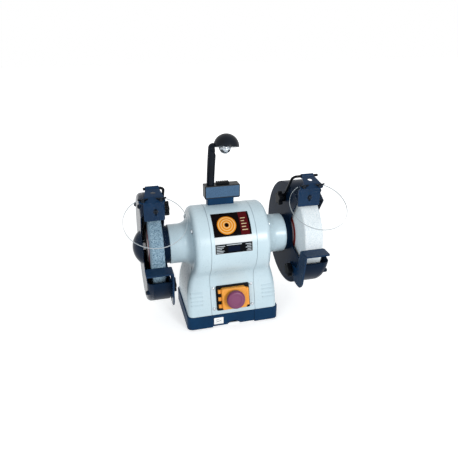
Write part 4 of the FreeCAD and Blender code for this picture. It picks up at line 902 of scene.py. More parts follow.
@dataclass(frozen=True)
class RuledPlate(BarrelPrint):
    """Rating plate: black anodised sheet with pale ruled cells that are left blank."""

    ground: str = "#07090C"
    rule: str = "#C3CCD2"
    cell: str = "#081226"
    roughness: float = 0.3
    border_mm: float = 0.7
    cell_ends: Pair = (27.0, 52.0)
    cell_margins: Pair = (4.0, 6.0)
    title_ends: Pair = (24.0, 56.0)
    title_margins: Pair = (3.9, 2.4)
    rule_first: float = 2.4
    rule_spare: float = 4.2
    rule_thickness: float = 1.3
    rule_margins: Pair = (2.6, 3.0)
    rule_lengths: tuple[Pair, ...] = ((14.0, 10.0), (16.0, 8.0), (11.0, 12.0), (15.0, 9.0),
                                      (18.0, 12.0))

    def shade(self, tree: Tree) -> Node:
        """Border, side blocks of short rules and a plain middle.

        Args:
            tree: Material's node tree.

        Returns:
            Shader node.
        """
        axes = self.layout(tree)
        width, height, edge = self.width, self.height, self.border_mm
        colour = self.print_bar(tree, axes, linear(self.rule), (edge, edge),
                                (width - edge, height - edge), self.ground)
        bars = [((self.cell_ends[0], self.cell_margins[0]),
                 (self.cell_ends[1], height - self.cell_margins[1]), self.cell)]
        left, right = self.rule_margins[0], width - self.rule_margins[1]
        for row, (first, second) in enumerate(self.rule_lengths):
            low = self.rule_first + row * (height - self.rule_spare) / len(self.rule_lengths)
            high = low + self.rule_thickness
            bars += [((left, low), (left + first, high), self.rule),
                     ((right - second, low), (right, high), self.rule)]
        bars.append(((self.title_ends[0], height - self.title_margins[0]),
                     (self.title_ends[1], height - self.title_margins[1]), self.rule))
        for bar in bars:
            colour = self.print_bar(tree, axes, colour, *bar)
        return self.glazed(tree, colour, self.roughness)


@dataclass(frozen=True)
class WhiteFilm(Finish):
    """Plain white label film: smooth, with a faint fibre in its gloss.

    Real fibres are thinner than 0.1 mm; they are drawn coarser so that they show."""

    name: str
    ground: str
    fibre_mm: ClassVar[float] = 1.2
    fibre_dull: ClassVar[Pair] = (0.35, 0.5)

    def printed(self, tree: Tree, place: Node) -> Colour | Node:
        """Colour of the film with what is printed on it.

        Args:
            tree: Material's node tree.
            place: Object coordinates in millimetres.

        Returns:
            Plain colour or colour node.
        """
        return linear(self.ground)

    def shade(self, tree: Tree) -> Node:
        """Film with its print and fibre.

        Args:
            tree: Material's node tree.

        Returns:
            Shader node.
        """
        place = millimetres(tree)
        fibre = add_node(tree, "ShaderNodeTexNoise", {
            "Vector": place, "Scale": 1 / self.fibre_mm, "Detail": 4.0})
        bump = add_node(tree, "ShaderNodeBump",
                        {"Strength": 0.2, "Distance": 0.02 * MM, "Height": fibre})
        dull = add_node(tree, "ShaderNodeMapRange",
                        {0: fibre, 3: self.fibre_dull[0], 4: self.fibre_dull[1]})
        return add_node(tree, "ShaderNodeBsdfPrincipled", {
            "Base Color": self.printed(tree, place), "Roughness": dull, "Normal": bump})


@dataclass(frozen=True)
class PlainSticker(WhiteFilm):
    """White paper sticker with a few blank grey bars."""

    bar_colour: str
    low: Point
    high: Point
    slant: float = -0.25
    bar_pitch_mm: float = 4.6542
    bar_span: Pair = (0.35, 0.6)
    margins: Pair = (5.0, 4.5)
    blur_mm: float = 0.2

    def printed(self, tree: Tree, place: Node) -> Colour | Node:
        """Slanting grey bars inside a margin.

        Args:
            tree: Material's node tree.
            place: Object coordinates in millimetres.

        Returns:
            Colour node.
        """
        axes = add_node(tree, "ShaderNodeSeparateXYZ", {0: place}).outputs
        slant = add_node(tree, "ShaderNodeMath", {0: axes[0], 1: self.slant, 2: axes[2]},
                         operation="MULTIPLY_ADD")
        turn = add_node(tree, "ShaderNodeMath", {0: slant, 1: math.tau / self.bar_pitch_mm},
                        operation="MULTIPLY")
        wave = add_node(tree, "ShaderNodeMath", {0: turn}, operation="SINE")
        mask = add_node(tree, "ShaderNodeMapRange",
                        {0: wave, 1: self.bar_span[0], 2: self.bar_span[1]})
        for axis, margin in zip((0, 2), self.margins):
            inside = between(tree, axes[axis], self.low[axis] + margin, self.high[axis] - margin,
                             self.blur_mm)
            mask = add_node(tree, "ShaderNodeMath", {0: mask, 1: inside}, operation="MULTIPLY")
        return add_node(tree, "ShaderNodeMix",
                        {0: mask, 6: linear(self.ground), 7: linear(self.bar_colour)},
                        data_type="RGBA")


# The third colour of each enamel is a painted highlight along its edges.
PALE_ENAMEL = StovedEnamel("stoved_enamel_pale_blue", "#C6DBE4", "#BDD3DD", "#E3EEF2", 0.28, 0.5)
NAVY_ENAMEL = StovedEnamel("stoved_enamel_navy", "#12304F", "#102A46", "#2E4E70", 0.24, 0.1,
                           edge_highlight_share=0.3)
GUARD_ENAMEL = StovedEnamel("stoved_enamel_dark_navy", "#0C2036", "#0B1B2E", "#24405E", 0.3, 0.025,
                            edge_highlight_share=0.3)
COVER_ENAMEL = StovedEnamel("stoved_enamel_bright_navy", "#0C2036", "#0B1B2E", "#24405E", 0.22,
                            0.07, edge_highlight_share=0.3)
BLACK_ENAMEL = StovedEnamel("stoved_enamel_black", "#06080C", "#0B0F15", "#333C47", 0.3, 0.08)
NAVY_MOULDING = MouldedPlastic("moulded_nylon_navy", "#133759", "#112F4D", 0.42, gloss=0.06)
BLACK_MOULDING = MouldedPlastic("moulded_abs_black", "#06090E", "#0C1118", 0.4, gloss=0.08)
ORANGE_MOULDING = MouldedPlastic("moulded_abs_orange", "#EFA038", "#E8962C", 0.34,
                                 grain_depth_mm=0.012)
GREEN_MOULDING = MouldedPlastic("moulded_abs_green", "#138A3A", "#0F7A32", 0.3, grain_depth_mm=0.01)
RED_MOULDING = MouldedPlastic("moulded_abs_red", "#B81F22", "#A5191C", 0.3, grain_depth_mm=0.01)
WHITE_MOULDING = MouldedPlastic("moulded_abs_white", "#E9ECEC", "#DFE3E3", 0.4)
CREAM_MOULDING = MouldedPlastic("moulded_nylon_cream", "#E2DDC8", "#D6D0B8", 0.45)
ZINC = BareMetal("zinc_plated_steel", "#C9CED2", "#AEB6BC", 0.3, Lay.ROLLED)
BLACK_ZINC = BareMetal("black_zinc_steel", "#2A3038", "#1B2027", 0.28, Lay.ROLLED)
TURNED_STEEL = BareMetal("turned_steel", "#B6BABD", "#8E9499", 0.28, Lay.TURNED)
BEARING_STEEL = BareMetal("ground_bearing_steel", "#D2D5D7", "#BFC4C7", 0.16, Lay.TURNED, 0.4)
GREY_GRIT = BondedGrit("vitrified_grey_corundum", "#7C99AC", "#4E6B80", "#9AB5C5", 1.1)
WHITE_GRIT = BondedGrit("vitrified_white_corundum", "#DFE9EE", "#D3DFE5", "#E9F0F3", 1.3)
# Its second colour is the dark of painted reflections.
SILVERED = SilveredGlass("silvered_lamp_glass", "#AEB6BE", "#4A4644")
FOOT_RUBBER = SoftRubber("moulded_rubber_foot", "#0E0F11", "#1C1E21", 0.7, 0.3)
ARM_RUBBER = SoftRubber("moulded_rubber_arm", "#070D16", "#0B1420", 0.3, 0.1)
BLOTTER = BlottingPaper("red_blotting_paper", "#7A1216", "#9A2A2A")
LAMINATIONS = StackedLayers("stacked_silicon_steel", "#6E7276", "#3A3D40", 0.6, 1.0, 0.45)
COPPER = StackedLayers("enamelled_copper_wire", "#B8642C", "#5A2A10", 0.9, 0.9, 0.35)
STRIP_FILM = WhiteFilm("white_label_film", "#DADFE0")


def mesh_from(build: bmesh.types.BMesh, name: str, crease_deg: float = 35.0) -> bpy.types.Mesh:
    """Closes a bmesh into a mesh with outward faces and shaded corners.

    Args:
        build: Finished geometry; it is freed.
        name: Name of the mesh.
        crease_deg: Edges sharper than this stay sharp.

    Returns:
        The mesh.
    """
    bmesh.ops.remove_doubles(build, verts=build.verts, dist=WELD)
    bmesh.ops.recalc_face_normals(build, faces=build.faces)
    mesh = bpy.data.meshes.new(name)
    build.to_mesh(mesh)
    build.free()
    mesh.shade_smooth()
    mesh.set_sharp_from_angle(angle=math.radians(crease_deg))
    return mesh


def joined(parts: list[bpy.types.Mesh], name: str) -> bpy.types.Mesh:
    """Puts several meshes into one.

    Args:
        parts: Meshes, already in place.
        name: Name of the new mesh.

    Returns:
        The new mesh.
    """
    whole = bmesh.new()
    for part in parts:
        whole.from_mesh(part)
    return mesh_from(whole, name)


def lathe(profile: list[Pair], segments: int) -> bmesh.types.BMesh:
    """Turns a profile about Z.

    Args:
        profile: Pairs of radius and height in millimetres; an end with radius 0 is a pole.
        segments: Steps round the axis.

    Returns:
        Turned geometry, in metres.
    """
    build = bmesh.new()
    rings = []
    for radius, height in ((a * MM, b * MM) for a, b in profile):
        count = 1 if radius < POLE else segments
        turns = [2 * math.pi * i / segments for i in range(count)]
        rings.append([build.verts.new((radius * math.cos(t), radius * math.sin(t), height))
                      for t in turns])
    for a, b in zip(rings, rings[1:]):
        for i in range(segments):
            j = (i + 1) % segments
            corners = [a[i % len(a)], a[j % len(a)], b[j % len(b)], b[i % len(b)]]
            unique = list(dict.fromkeys(corners))
            if len(unique) > 2:
                build.faces.new(unique)
    return build


def slab(outline: list[Pair], thickness: float) -> bmesh.types.BMesh:
    """Flat plate with a given outline and a slightly drawn-in upper face.

    Args:
        outline: Corners in the XY plane, in millimetres.
        thickness: Height along Z, in millimetres.

    Returns:
        Closed geometry, in metres.
    """
    build = bmesh.new()
    rings = [[build.verts.new((x * MM * share, y * MM * share, rise * thickness * MM))
              for x, y in outline] for rise, share in SLAB_RINGS]
    for a, b in zip(rings, rings[1:]):
        for i in range(len(outline)):
            j = (i + 1) % len(outline)
            build.faces.new((a[i], a[j], b[j], b[i]))
    build.faces.new(list(reversed(rings[0])))
    build.faces.new(rings[-1])
    return build


def rounded_outline(width: float, height: float, radius: float, steps: int = 5) -> list[Pair]:
    """Rectangle with rounded corners about the origin.

    Args:
        width: Size along X.
        height: Size along Y.
        radius: Corner radius.
        steps: Points in each corner.

    Returns:
        Corners in order.
    """
    points = []
    for turn, sx, sy in ((0, 1, 1), (90, -1, 1), (180, -1, -1), (270, 1, -1)):
        for i in range(steps + 1):
            angle = math.radians(turn + 90 * i / steps)
            points.append((sx * (width / 2 - radius) + radius * math.cos(angle),
                           sy * (height / 2 - radius) + radius * math.sin(angle)))
    return points


def new_object(name: str, data: bpy.types.ID, finish: Finish | None = None) -> bpy.types.Object:
    """Puts a mesh, lamp or camera in the scene as an object at the origin.

    Args:
        name: Name of the object.
        data: Its data; a mesh is already in place.
        finish: Its finish, where it isn't set yet.

    Returns:
        The object.
    """
    made = bpy.data.objects.new(name, data)
    bpy.context.scene.collection.objects.link(made)
    if finish is not None:
        data.materials.clear()
        data.materials.append(finish.material())
    return made


def evaluated_mesh(source: bpy.types.Object, name: str) -> bpy.types.Mesh:
    """Mesh of an object with its modifiers worked in.

    Args:
        source: Object with modifiers.
        name: Name of the new mesh.

    Returns:
        A plain mesh of its own.
    """
    graph = bpy.context.evaluated_depsgraph_get()
    mesh = bpy.data.meshes.new_from_object(source.evaluated_get(graph))
    mesh.name = name
    return mesh


def discard(*objects: bpy.types.Object) -> None:
    """Removes helper objects."""
    for item in objects:
        bpy.data.objects.remove(item)


def new_group(name: str, inputs: dict[str, str]) -> bpy.types.GeometryNodeTree:
    """Empty geometry tree with named inputs and one output.

    Args:
        name: Name of the tree.
        inputs: Name of each input, with the kind of its socket.

    Returns:
        The tree.
    """
    tree = bpy.data.node_groups.new(name, "GeometryNodeTree")
    for socket, kind in inputs.items():
        tree.interface.new_socket(socket, in_out="INPUT", socket_type="NodeSocket" + kind)
    tree.interface.new_socket("Made", in_out="OUTPUT", socket_type="NodeSocketGeometry")
    return tree


def end_group(tree: Tree, made: Node, finish: bpy.types.NodeSocket) -> None:
    """Realises what a geometry tree has made, gives it its finish and ends the tree.

    Args:
        tree: Geometry tree.
        made: Node with the geometry.
        finish: Input with the material.
    """
    real = add_node(tree, "GeometryNodeRealizeInstances", {0: made})
    done = add_node(tree, "GeometryNodeSetMaterial", {"Geometry": real, "Material": finish})
    add_node(tree, "NodeGroupOutput", {0: done})


def run_group(tree: Tree, holder: bpy.types.Object, values: dict[str, Any],
              name: str) -> bpy.types.Mesh:
    """Works a geometry tree into a plain mesh; the holder is removed.

    Args:
        tree: Geometry tree.
        holder: Helper object with the mesh that the tree starts from.
        values: Name of each input, with its value.
        name: Name of the new mesh.

    Returns:
        The mesh.
    """
    setter = holder.modifiers.new(tree.name, "NODES")
    setter.node_group = tree
    for item in tree.interface.items_tree:
        if item.item_type == "SOCKET" and item.in_out == "INPUT" and item.name in values:
            setter[item.identifier] = values[item.name]
    mesh = evaluated_mesh(holder, name)
    discard(holder)
    return mesh


def fit(piece: bpy.types.Object, body: str, slot: str, *nodes: str) -> None:
    """Fixes a finished piece to its body and reports it.

    Args:
        piece: Finished piece, in place.
        body: Body that carries it.
        slot: Record's material slot of its finish; not used.
        nodes: CAD nodes that it stands for.
    """
    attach(piece, body)
    if nodes:
        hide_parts(*nodes)
    LOG.info("piece %s on %s, %d faces", piece.name, body, len(piece.data.polygons))


def dress(finish: Finish, *nodes: str) -> None:
    """Gives CAD nodes a finish.

    Args:
        finish: Finish to show.
        nodes: Names of the nodes.
    """
    for node in nodes:
        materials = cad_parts[node].data.materials
        if not materials:
            materials.append(None)
        for i in range(len(materials)):
            materials[i] = finish.material()
        LOG.info("node %s in %s", node, finish.name)


@dataclass(frozen=True)
class Front:
    """Leaning front of the body: places on it are counted across, up the slope and outwards."""

    middle: Point = (0.0, -61.6218, 68.0)
    lean_deg: float = 15.0

    @property
    def out(self) -> Vector:
        """Direction away from the slope."""
        lean = math.radians(self.lean_deg)
        return Vector((0.0, -math.cos(lean), math.sin(lean)))

    @property
    def up(self) -> Vector:
        """Direction up the slope."""
        lean = math.radians(self.lean_deg)
        return Vector((0.0, math.sin(lean), math.cos(lean)))

    def place(self, across: float, up: float, out: float) -> Matrix:
        """Frame of a piece on the slope.

        Args:
            across: Millimetres to the operator's right.
            up: Millimetres up the slope.
            out: Millimetres off the slope.

        Returns:
            Matrix in metres, with Z outwards and Y up the slope.
        """
        spot = Vector(self.middle) + Vector((across, 0.0, 0.0)) + self.up * up + self.out * out
        turn = Matrix((Vector((1.0, 0.0, 0.0)), self.up, self.out)).transposed().to_4x4()
        return Matrix.Translation(spot * MM) @ turn


FRONT = Front()


@dataclass(frozen=True)
class Seat:
    """Place of one screw: the middle of its seat in millimetres, its direction and its size."""

    spot: Point
    aim: Point
    size: float = 1.0


@dataclass
class ScrewSet:
    """Screws of one head shape, set on their seats by a node tree; sizes in millimetres."""

    head: Head
    head_radius: float = 4.0
    head_height: float = 2.4
    recess: Point = (4.6, 0.9, 0.25)        # length, width and corner radius of one arm
    recess_depth: float = 1.1
    recess_cut: float = 3.0
    recess_steps: int = 2
    washer_radius: float = 4.7
    washer_height: float = 0.5
    washer_edge: Pair = (0.15, 0.12)
    shank_radius: float = 1.85
    shank_length: float = 4.0
    shank_edge: float = 0.4
    wing_reach: float = 10.0
    wing_sheet: float = 1.9
    steps: int = 32
    seed: int = 11

    def __post_init__(self) -> None:
        """Makes the pattern screw and the tree that repeats it."""
        self.tree = self.build_tree()
        self.pattern = self.build_pattern()

    def turned(self, profile: list[Pair]) -> bpy.types.Mesh:
        """Turned part of a screw.

        Args:
            profile: Radius and height in millimetres.

        Returns:
            Its mesh.
        """
        return mesh_from(lathe(profile, self.steps), "screw_part")

    def cross_head(self) -> bpy.types.Mesh:
        """Pan head with a cross recess.

        Returns:
            Mesh of the head.
        """
        r, h, w = self.head_radius, self.head_height, self.washer_height
        solid = new_object("screw_head", self.turned([
            (0.0, w), (r, w), (r, w + 0.4 * h), (0.95 * r, w + 0.62 * h), (0.8 * r, w + 0.84 * h),
            (0.55 * r, w + 0.96 * h), (0.3 * r, w + h), (0.0, w + h)]))
        arms = []
        for turn in (0.0, math.pi / 2):
            arm = slab(rounded_outline(*self.recess, self.recess_steps), self.recess_cut)
            floor = Matrix.Translation((0.0, 0.0, (w + h - self.recess_depth) * MM))
            arm.transform(floor @ Matrix.Rotation(turn, 4, "Z"))
            arms.append(mesh_from(arm, "recess"))
        cutter = new_object("screw_cross", joined(arms, "screw_cross"))
        cut = solid.modifiers.new("recess", "BOOLEAN")
        cut.operation = "DIFFERENCE"
        cut.object = cutter
        cut.solver = "EXACT"
        cut.use_self = True
        mesh = evaluated_mesh(solid, "screw_cut")
        discard(solid, cutter)
        return mesh

    def wing_head(self) -> bpy.types.Mesh:
        """Boss with two raised wings.

        Returns:
            Mesh of the head.
        """
        boss = [(0.0, 0.3), (4.2, 0.3), (4.2, 1.2), (3.3, 2.2), (3.0, 4.6), (2.4, 5.4), (1.2, 5.8),
                (0.0, 5.8)]
        reach, half = self.wing_reach, self.wing_sheet / 2
        outline = [(2.0, 0.9), (4.5, 1.2), (0.72 * reach, 2.6), (0.94 * reach, 4.0), (reach, 5.4),
                   (0.93 * reach, 6.6), (0.78 * reach, 6.9), (0.55 * reach, 5.9), (3.2, 4.4),
                   (2.0, 4.2)]
        parts = [self.turned(boss)]
        for turn in (0.0, math.pi):
            wing = slab(outline, self.wing_sheet)
            aside = Matrix.Translation((0.0, half * MM, 0.0))
            upright = Matrix.Rotation(math.pi / 2, 4, "X")
            wing.transform(Matrix.Rotation(turn, 4, "Z") @ (aside @ upright))
            parts.append(mesh_from(wing, "wing"))
        return joined(parts, "wing_head")

    def build_pattern(self) -> bpy.types.Object:
        """Head, washer and a short shank.

        Returns:
            Pattern object, its seat at the origin and its head along Z.
        """
        outer, w, (side, rise) = self.washer_radius, self.washer_height, self.washer_edge
        inner, foot, edge = self.shank_radius, -self.shank_length, self.shank_edge
        head = self.cross_head() if self.head is Head.CROSS else self.wing_head()
        washer = self.turned([
            (inner, 0.0), (outer - side, 0.0), (outer, rise), (outer, w - rise), (outer - side, w),
            (inner, w), (inner, 0.0)])
        shank = self.turned([(0.0, foot), (inner - edge, foot), (inner, foot + edge), (inner, w),
                             (0.0, w)])
        name = f"{self.head.value}_pattern"
        pattern = new_object(name, joined([head, washer, shank], name))
        pattern.hide_render = True
        return pattern

    def build_tree(self) -> bpy.types.GeometryNodeTree:
        """Node tree that sets one pattern on every seat, each turned by up to the given angle.

        Returns:
            Tree with named inputs.
        """
        tree = new_group("set_screws", {"Seats": "Geometry", "Pattern": "Object", "Turn": "Float",
                                        "Seed": "Int", "Finish": "Material"})
        given = add_node(tree, "NodeGroupInput").outputs
        aim = add_node(tree, "GeometryNodeInputNamedAttribute", {"Name": "aim"},
                       data_type="FLOAT_VECTOR")
        size = add_node(tree, "GeometryNodeInputNamedAttribute", {"Name": "size"},
                        data_type="FLOAT")
        face = add_node(tree, "FunctionNodeAlignRotationToVector", {"Vector": aim}, axis="Z")
        turn = add_node(tree, "FunctionNodeRandomValue",
                        {2: 0.0, 3: given["Turn"], "Seed": given["Seed"]}, data_type="FLOAT")
        spin = add_node(tree, "FunctionNodeAxisAngleToRotation",
                        {"Axis": (0.0, 0.0, 1.0), "Angle": turn})
        both = add_node(tree, "FunctionNodeRotateRotation", {"Rotation": face, "Rotate By": spin},
                        rotation_space="LOCAL")
        screw = add_node(tree, "GeometryNodeObjectInfo",
                         {"Object": given["Pattern"]}).outputs["Geometry"]
        placed = add_node(tree, "GeometryNodeInstanceOnPoints", {
            "Points": given["Seats"], "Instance": screw, "Rotation": both, "Scale": size})
        end_group(tree, placed, given["Finish"])
        return tree

    def build(self, name: str, seats: list[Seat], finish: Finish) -> bpy.types.Object:
        """Makes one mesh of all screws of a body.

        Args:
            name: Name of the piece.
            seats: Where the screws go.
            finish: Metal of the screws.

        Returns:
            Finished piece at the origin.
        """
        points = bpy.data.meshes.new(name + "_seats")
        points.from_pydata([tuple(c * MM for c in seat.spot) for seat in seats], [], [])
        aims = points.attributes.new("aim", "FLOAT_VECTOR", "POINT")
        aims.data.foreach_set("vector", [c for seat in seats for c in seat.aim])
        sizes = points.attributes.new("size", "FLOAT", "POINT")
        sizes.data.foreach_set("value", [seat.size for seat in seats])
        turn = math.pi / 2 if self.head is Head.CROSS else 0.0
        mesh = run_group(self.tree, new_object(name + "_holder", points), {
            "Pattern": self.pattern, "Turn": turn, "Seed": self.seed, "Finish": finish.material()},
            name)
        for attribute in ("aim", "size"):
            if attribute in mesh.attributes:
                mesh.attributes.remove(mesh.attributes[attribute])
        return new_object(name, mesh)

    def close(self) -> None:
        """Removes the pattern once all screws are set."""
        discard(self.pattern)


@dataclass
class Housing:
    """Base, body, motor, labels and everything else that stands still; sizes in millimetres."""

    label_left: float = -41.0
    label_width: float = 79.0
    label_angles: Pair = (27.0, 66.0)
    plate_angles: Pair = (1.0, 16.5)
    strip_gap_deg: float = 0.15
    strip_lifts: Pair = (0.03, 0.3)
    strip_steps: int = 14
    sticker_low: Point = (-44.5, -71.5, 8.8)
    sticker_high: Point = (-23.5, -71.3, 25.0)
    sticker_corner: float = 1.0
    panel_screw_across: float = 42.5
    panel_screw_up: float = 23.0
    panel_screw_size: float = 0.8

    def dress(self) -> None:
        """Gives the still nodes their finishes."""
        dress(NAVY_MOULDING, "base_tray", "lamp_bracket")
        dress(ZINC, "base_plate", "capacitor_clip", "tie_bolts", "clamp_studs")
        dress(FOOT_RUBBER, "rubber_feet")
        dress(PALE_ENAMEL, "motor_shell", "left_end_shell", "right_end_shell")
        dress(LAMINATIONS, "stator_core")
        dress(COPPER, "stator_windings")
        dress(BEARING_STEEL, "bearing_outer_rings")
        dress(WHITE_MOULDING, "capacitor")
        dress(CREAM_MOULDING, "terminal_block")
        dress(BLACK_MOULDING, "cable_gland", "switch_bezel", "switch_body")
        across = (self.label_left, self.label_width)
        dress(WheelPictureFilm("printed_polyester_film", *across, *self.label_angles),
              "front_label")
        dress(RuledPlate("black_anodised_plate", *across, *self.plate_angles), "rating_plate")

    def build_strip(self) -> None:
        """White film between the label and the rating plate, bent to the barrel."""
        build = bmesh.new()
        steps = self.strip_steps
        low = self.plate_angles[1] + self.strip_gap_deg
        high = self.label_angles[0] - self.strip_gap_deg
        ends = (self.label_left, self.label_left + self.label_width)
        sheets = []
        for lift in self.strip_lifts:
            sheet = []
            for i in range(steps + 1):
                angle = math.radians(low + (high - low) * i / steps)
                radius = BARREL_RADIUS + lift
                y, z = -radius * math.cos(angle), SPINDLE_HEIGHT + radius * math.sin(angle)
                sheet.append([build.verts.new((x * MM, y * MM, z * MM)) for x in ends])
            sheets.append(sheet)
            for a, b in zip(sheet, sheet[1:]):
                build.faces.new((a[0], a[1], b[1], b[0]))
        inner, outer = sheets
        for k in (0, 1):
            for i in range(steps):
                build.faces.new((inner[i][k], inner[i + 1][k], outer[i + 1][k], outer[i][k]))
        for i in (0, steps):
            build.faces.new((inner[i][0], inner[i][1], outer[i][1], outer[i][0]))
        fit(new_object("label_strip", mesh_from(build, "label_strip"), STRIP_FILM), "housing",
            "label_film")

    def build_sticker(self) -> None:
        """Small sticker on the base's middle section."""
        low, high = Vector(self.sticker_low), Vector(self.sticker_high)
        size = high - low
        build = slab(rounded_outline(size.x, size.z, self.sticker_corner), size.y)
        middle = Vector(((low.x + high.x) / 2, low.y, (low.z + high.z) / 2))
        build.transform(Matrix.Translation(middle * MM) @ Matrix.Rotation(math.pi / 2, 4, "X"))
        finish = PlainSticker("white_paper_sticker", "#F4F6F6", "#8A8F93", self.sticker_low,
                              self.sticker_high)
        fit(new_object("base_sticker", mesh_from(build, "base_sticker"), finish), "housing",
            "label_film")

    def screw_seats(self) -> list[Seat]:
        """Seats of the switch panel's screws.

        Returns:
            Four seats.
        """
        seats = []
        for across in (-self.panel_screw_across, self.panel_screw_across):
            for up in (-self.panel_screw_up, self.panel_screw_up):
                spot = FRONT.place(across, up, 0.0).translation * PER_MM
                seats.append(Seat(tuple(spot), tuple(FRONT.out), self.panel_screw_size))
        return seats


@dataclass
class Rotor:
    """Spindle, wheels and what clamps them."""

    def dress(self) -> None:
        """Gives the turning nodes their finishes."""
        dress(TURNED_STEEL, "shaft", "wheel_flanges", "wheel_nuts")
        dress(LAMINATIONS, "rotor_core")
        dress(GREY_GRIT, "left_wheel")
        dress(WHITE_GRIT, "right_wheel")
        dress(BLOTTER, "wheel_blotters")
        dress(BEARING_STEEL, "bearing_inner_rings", "bearing_balls")


@dataclass
class WheelStation:
    """Guard, cover, spark arrester, tool rest and eye shield of one wheel; sizes in millimetres."""

    side: Side
    cover_face: float
    cover_edge: float = 12.0
    cover_screw_radius: float = 109.1
    cover_screw_lift: float = 0.4
    cover_screw_angles: tuple[float, ...] = (72.0, 145.0, 215.0, 328.0)
    guard_plate_in: float = 137.0
    arrester_screw: Pair = (-66.389, 282.15)
    shield_middle: float = 160.7
    shield_screw_half: float = 17.0
    shield_screw: Pair = (-74.555, 308.754)
    shield_slope_deg: float = 31.5
    lens_middle: Pair = (-112.8, 281.21)
    lens_rim: Pair = (57.9, 58.1)

    def dress(self) -> None:
        """Gives this side's nodes their finishes."""
        word = self.side.word
        dress(GUARD_ENAMEL, f"{word}_guard")
        dress(COVER_ENAMEL, f"{word}_guard_cover")
        dress(NAVY_ENAMEL, *(f"{word}_{part}"
                             for part in ("spark_arrester", "tool_rest", "shield_bracket")))
        dress(BLACK_ENAMEL, f"{word}_shield_rod")
        dress(BLACK_MOULDING, f"{word}_shield_knob", f"{word}_rest_knob")
        middle = (self.side.value * self.shield_middle, *self.lens_middle)
        dress(ClearSheet(f"clear_polycarbonate_{word}", "#8E999F", "#A2ACB2", middle,
                         self.lens_rim), f"{word}_shield_lens")

    def screw_seats(self) -> list[Seat]:
        """Seats of the cover's screws and of the arrester's screw.

        Returns:
            Four seats on the cover and one on the arrester.
        """
        sign = self.side.value
        face = sign * (self.cover_face + self.cover_screw_lift)
        seats = []
        for degrees in self.cover_screw_angles:
            turn = math.radians(degrees)
            y = -self.cover_screw_radius * math.cos(turn)
            z = SPINDLE_HEIGHT + self.cover_screw_radius * math.sin(turn)
            seats.append(Seat((face, y, z), (float(sign), 0.0, 0.0)))
        x = sign * (self.guard_plate_in + self.cover_face - self.cover_edge) / 2
        seats.append(Seat((x, *self.arrester_screw), (0.0, -1.0, 0.0)))
        return seats

    def build_shield_screws(self, screws: ScrewSet) -> None:
        """Sets the two wing screws that hold the clear shield.

        Args:
            screws: Maker of screws.
        """
        slope = math.radians(self.shield_slope_deg)
        aim = (0.0, -math.sin(slope), math.cos(slope))
        sign, word = self.side.value, self.side.word
        seats = [Seat((sign * (self.shield_middle + half), *self.shield_screw), aim)
                 for half in (-self.shield_screw_half, self.shield_screw_half)]
        fit(screws.build(f"{word}_shield_bolts", seats, BLACK_ZINC), f"{word}_shield",
            "zinc_screws", f"{word}_shield_screws")


LEFT_STATION = WheelStation(Side.LEFT, cover_face=183.5)
RIGHT_STATION = WheelStation(Side.RIGHT, cover_face=198.5)


@dataclass
class Switch:
    """Flap, stop knob and the two keys under the flap; sizes in millimetres."""

    knob_split: Pair = (29.5, 32.0)
    knob_hub: Pair = (10.4, 10.8)
    key_top: float = 6.0
    start_across: float = -14.5
    stop_across: float = 2.5
    mark_up: float = -8.5
    mark_height: float = 0.15
    bar_size: Pair = (1.5, 6.0)
    bar_corner: float = 0.7
    bar_steps: int = 4
    ring_steps: int = 32

    def dress(self) -> None:
        """Gives the switch its colours."""
        dress(ORANGE_MOULDING, "switch_flap")
        dress(GREEN_MOULDING, "start_button")
        dress(RED_MOULDING, "stop_button")
        # The stop knob's darker side colour is painted shade.
        dress(KnobPlasticWithPaintedShade("moulded_thermoset_magenta", "#702B55", "#5E1637", "#864472",
                             FRONT.middle, tuple(FRONT.out), self.knob_split, self.knob_hub),
              "stop_mushroom")

    def build_marks(self) -> None:
        """White bar on the start key and white ring on the stop key."""
        bar = slab(rounded_outline(*self.bar_size, self.bar_corner, self.bar_steps),
                   self.mark_height)
        bar.transform(FRONT.place(self.start_across, self.mark_up, self.key_top))
        fit(new_object("start_mark", mesh_from(bar, "start_mark"), WHITE_MOULDING), "start_key",
            "start_green")
        top = self.mark_height
        section = [(2.0, 0.0), (3.3, 0.0), (3.3, 0.1), (3.2, top), (2.1, top), (2.0, 0.1),
                   (2.0, 0.0)]
        ring = lathe(section, self.ring_steps)
        ring.transform(FRONT.place(self.stop_across, self.mark_up, self.key_top))
        fit(new_object("stop_mark", mesh_from(ring, "stop_mark"), WHITE_MOULDING), "stop_key",
            "stop_red")


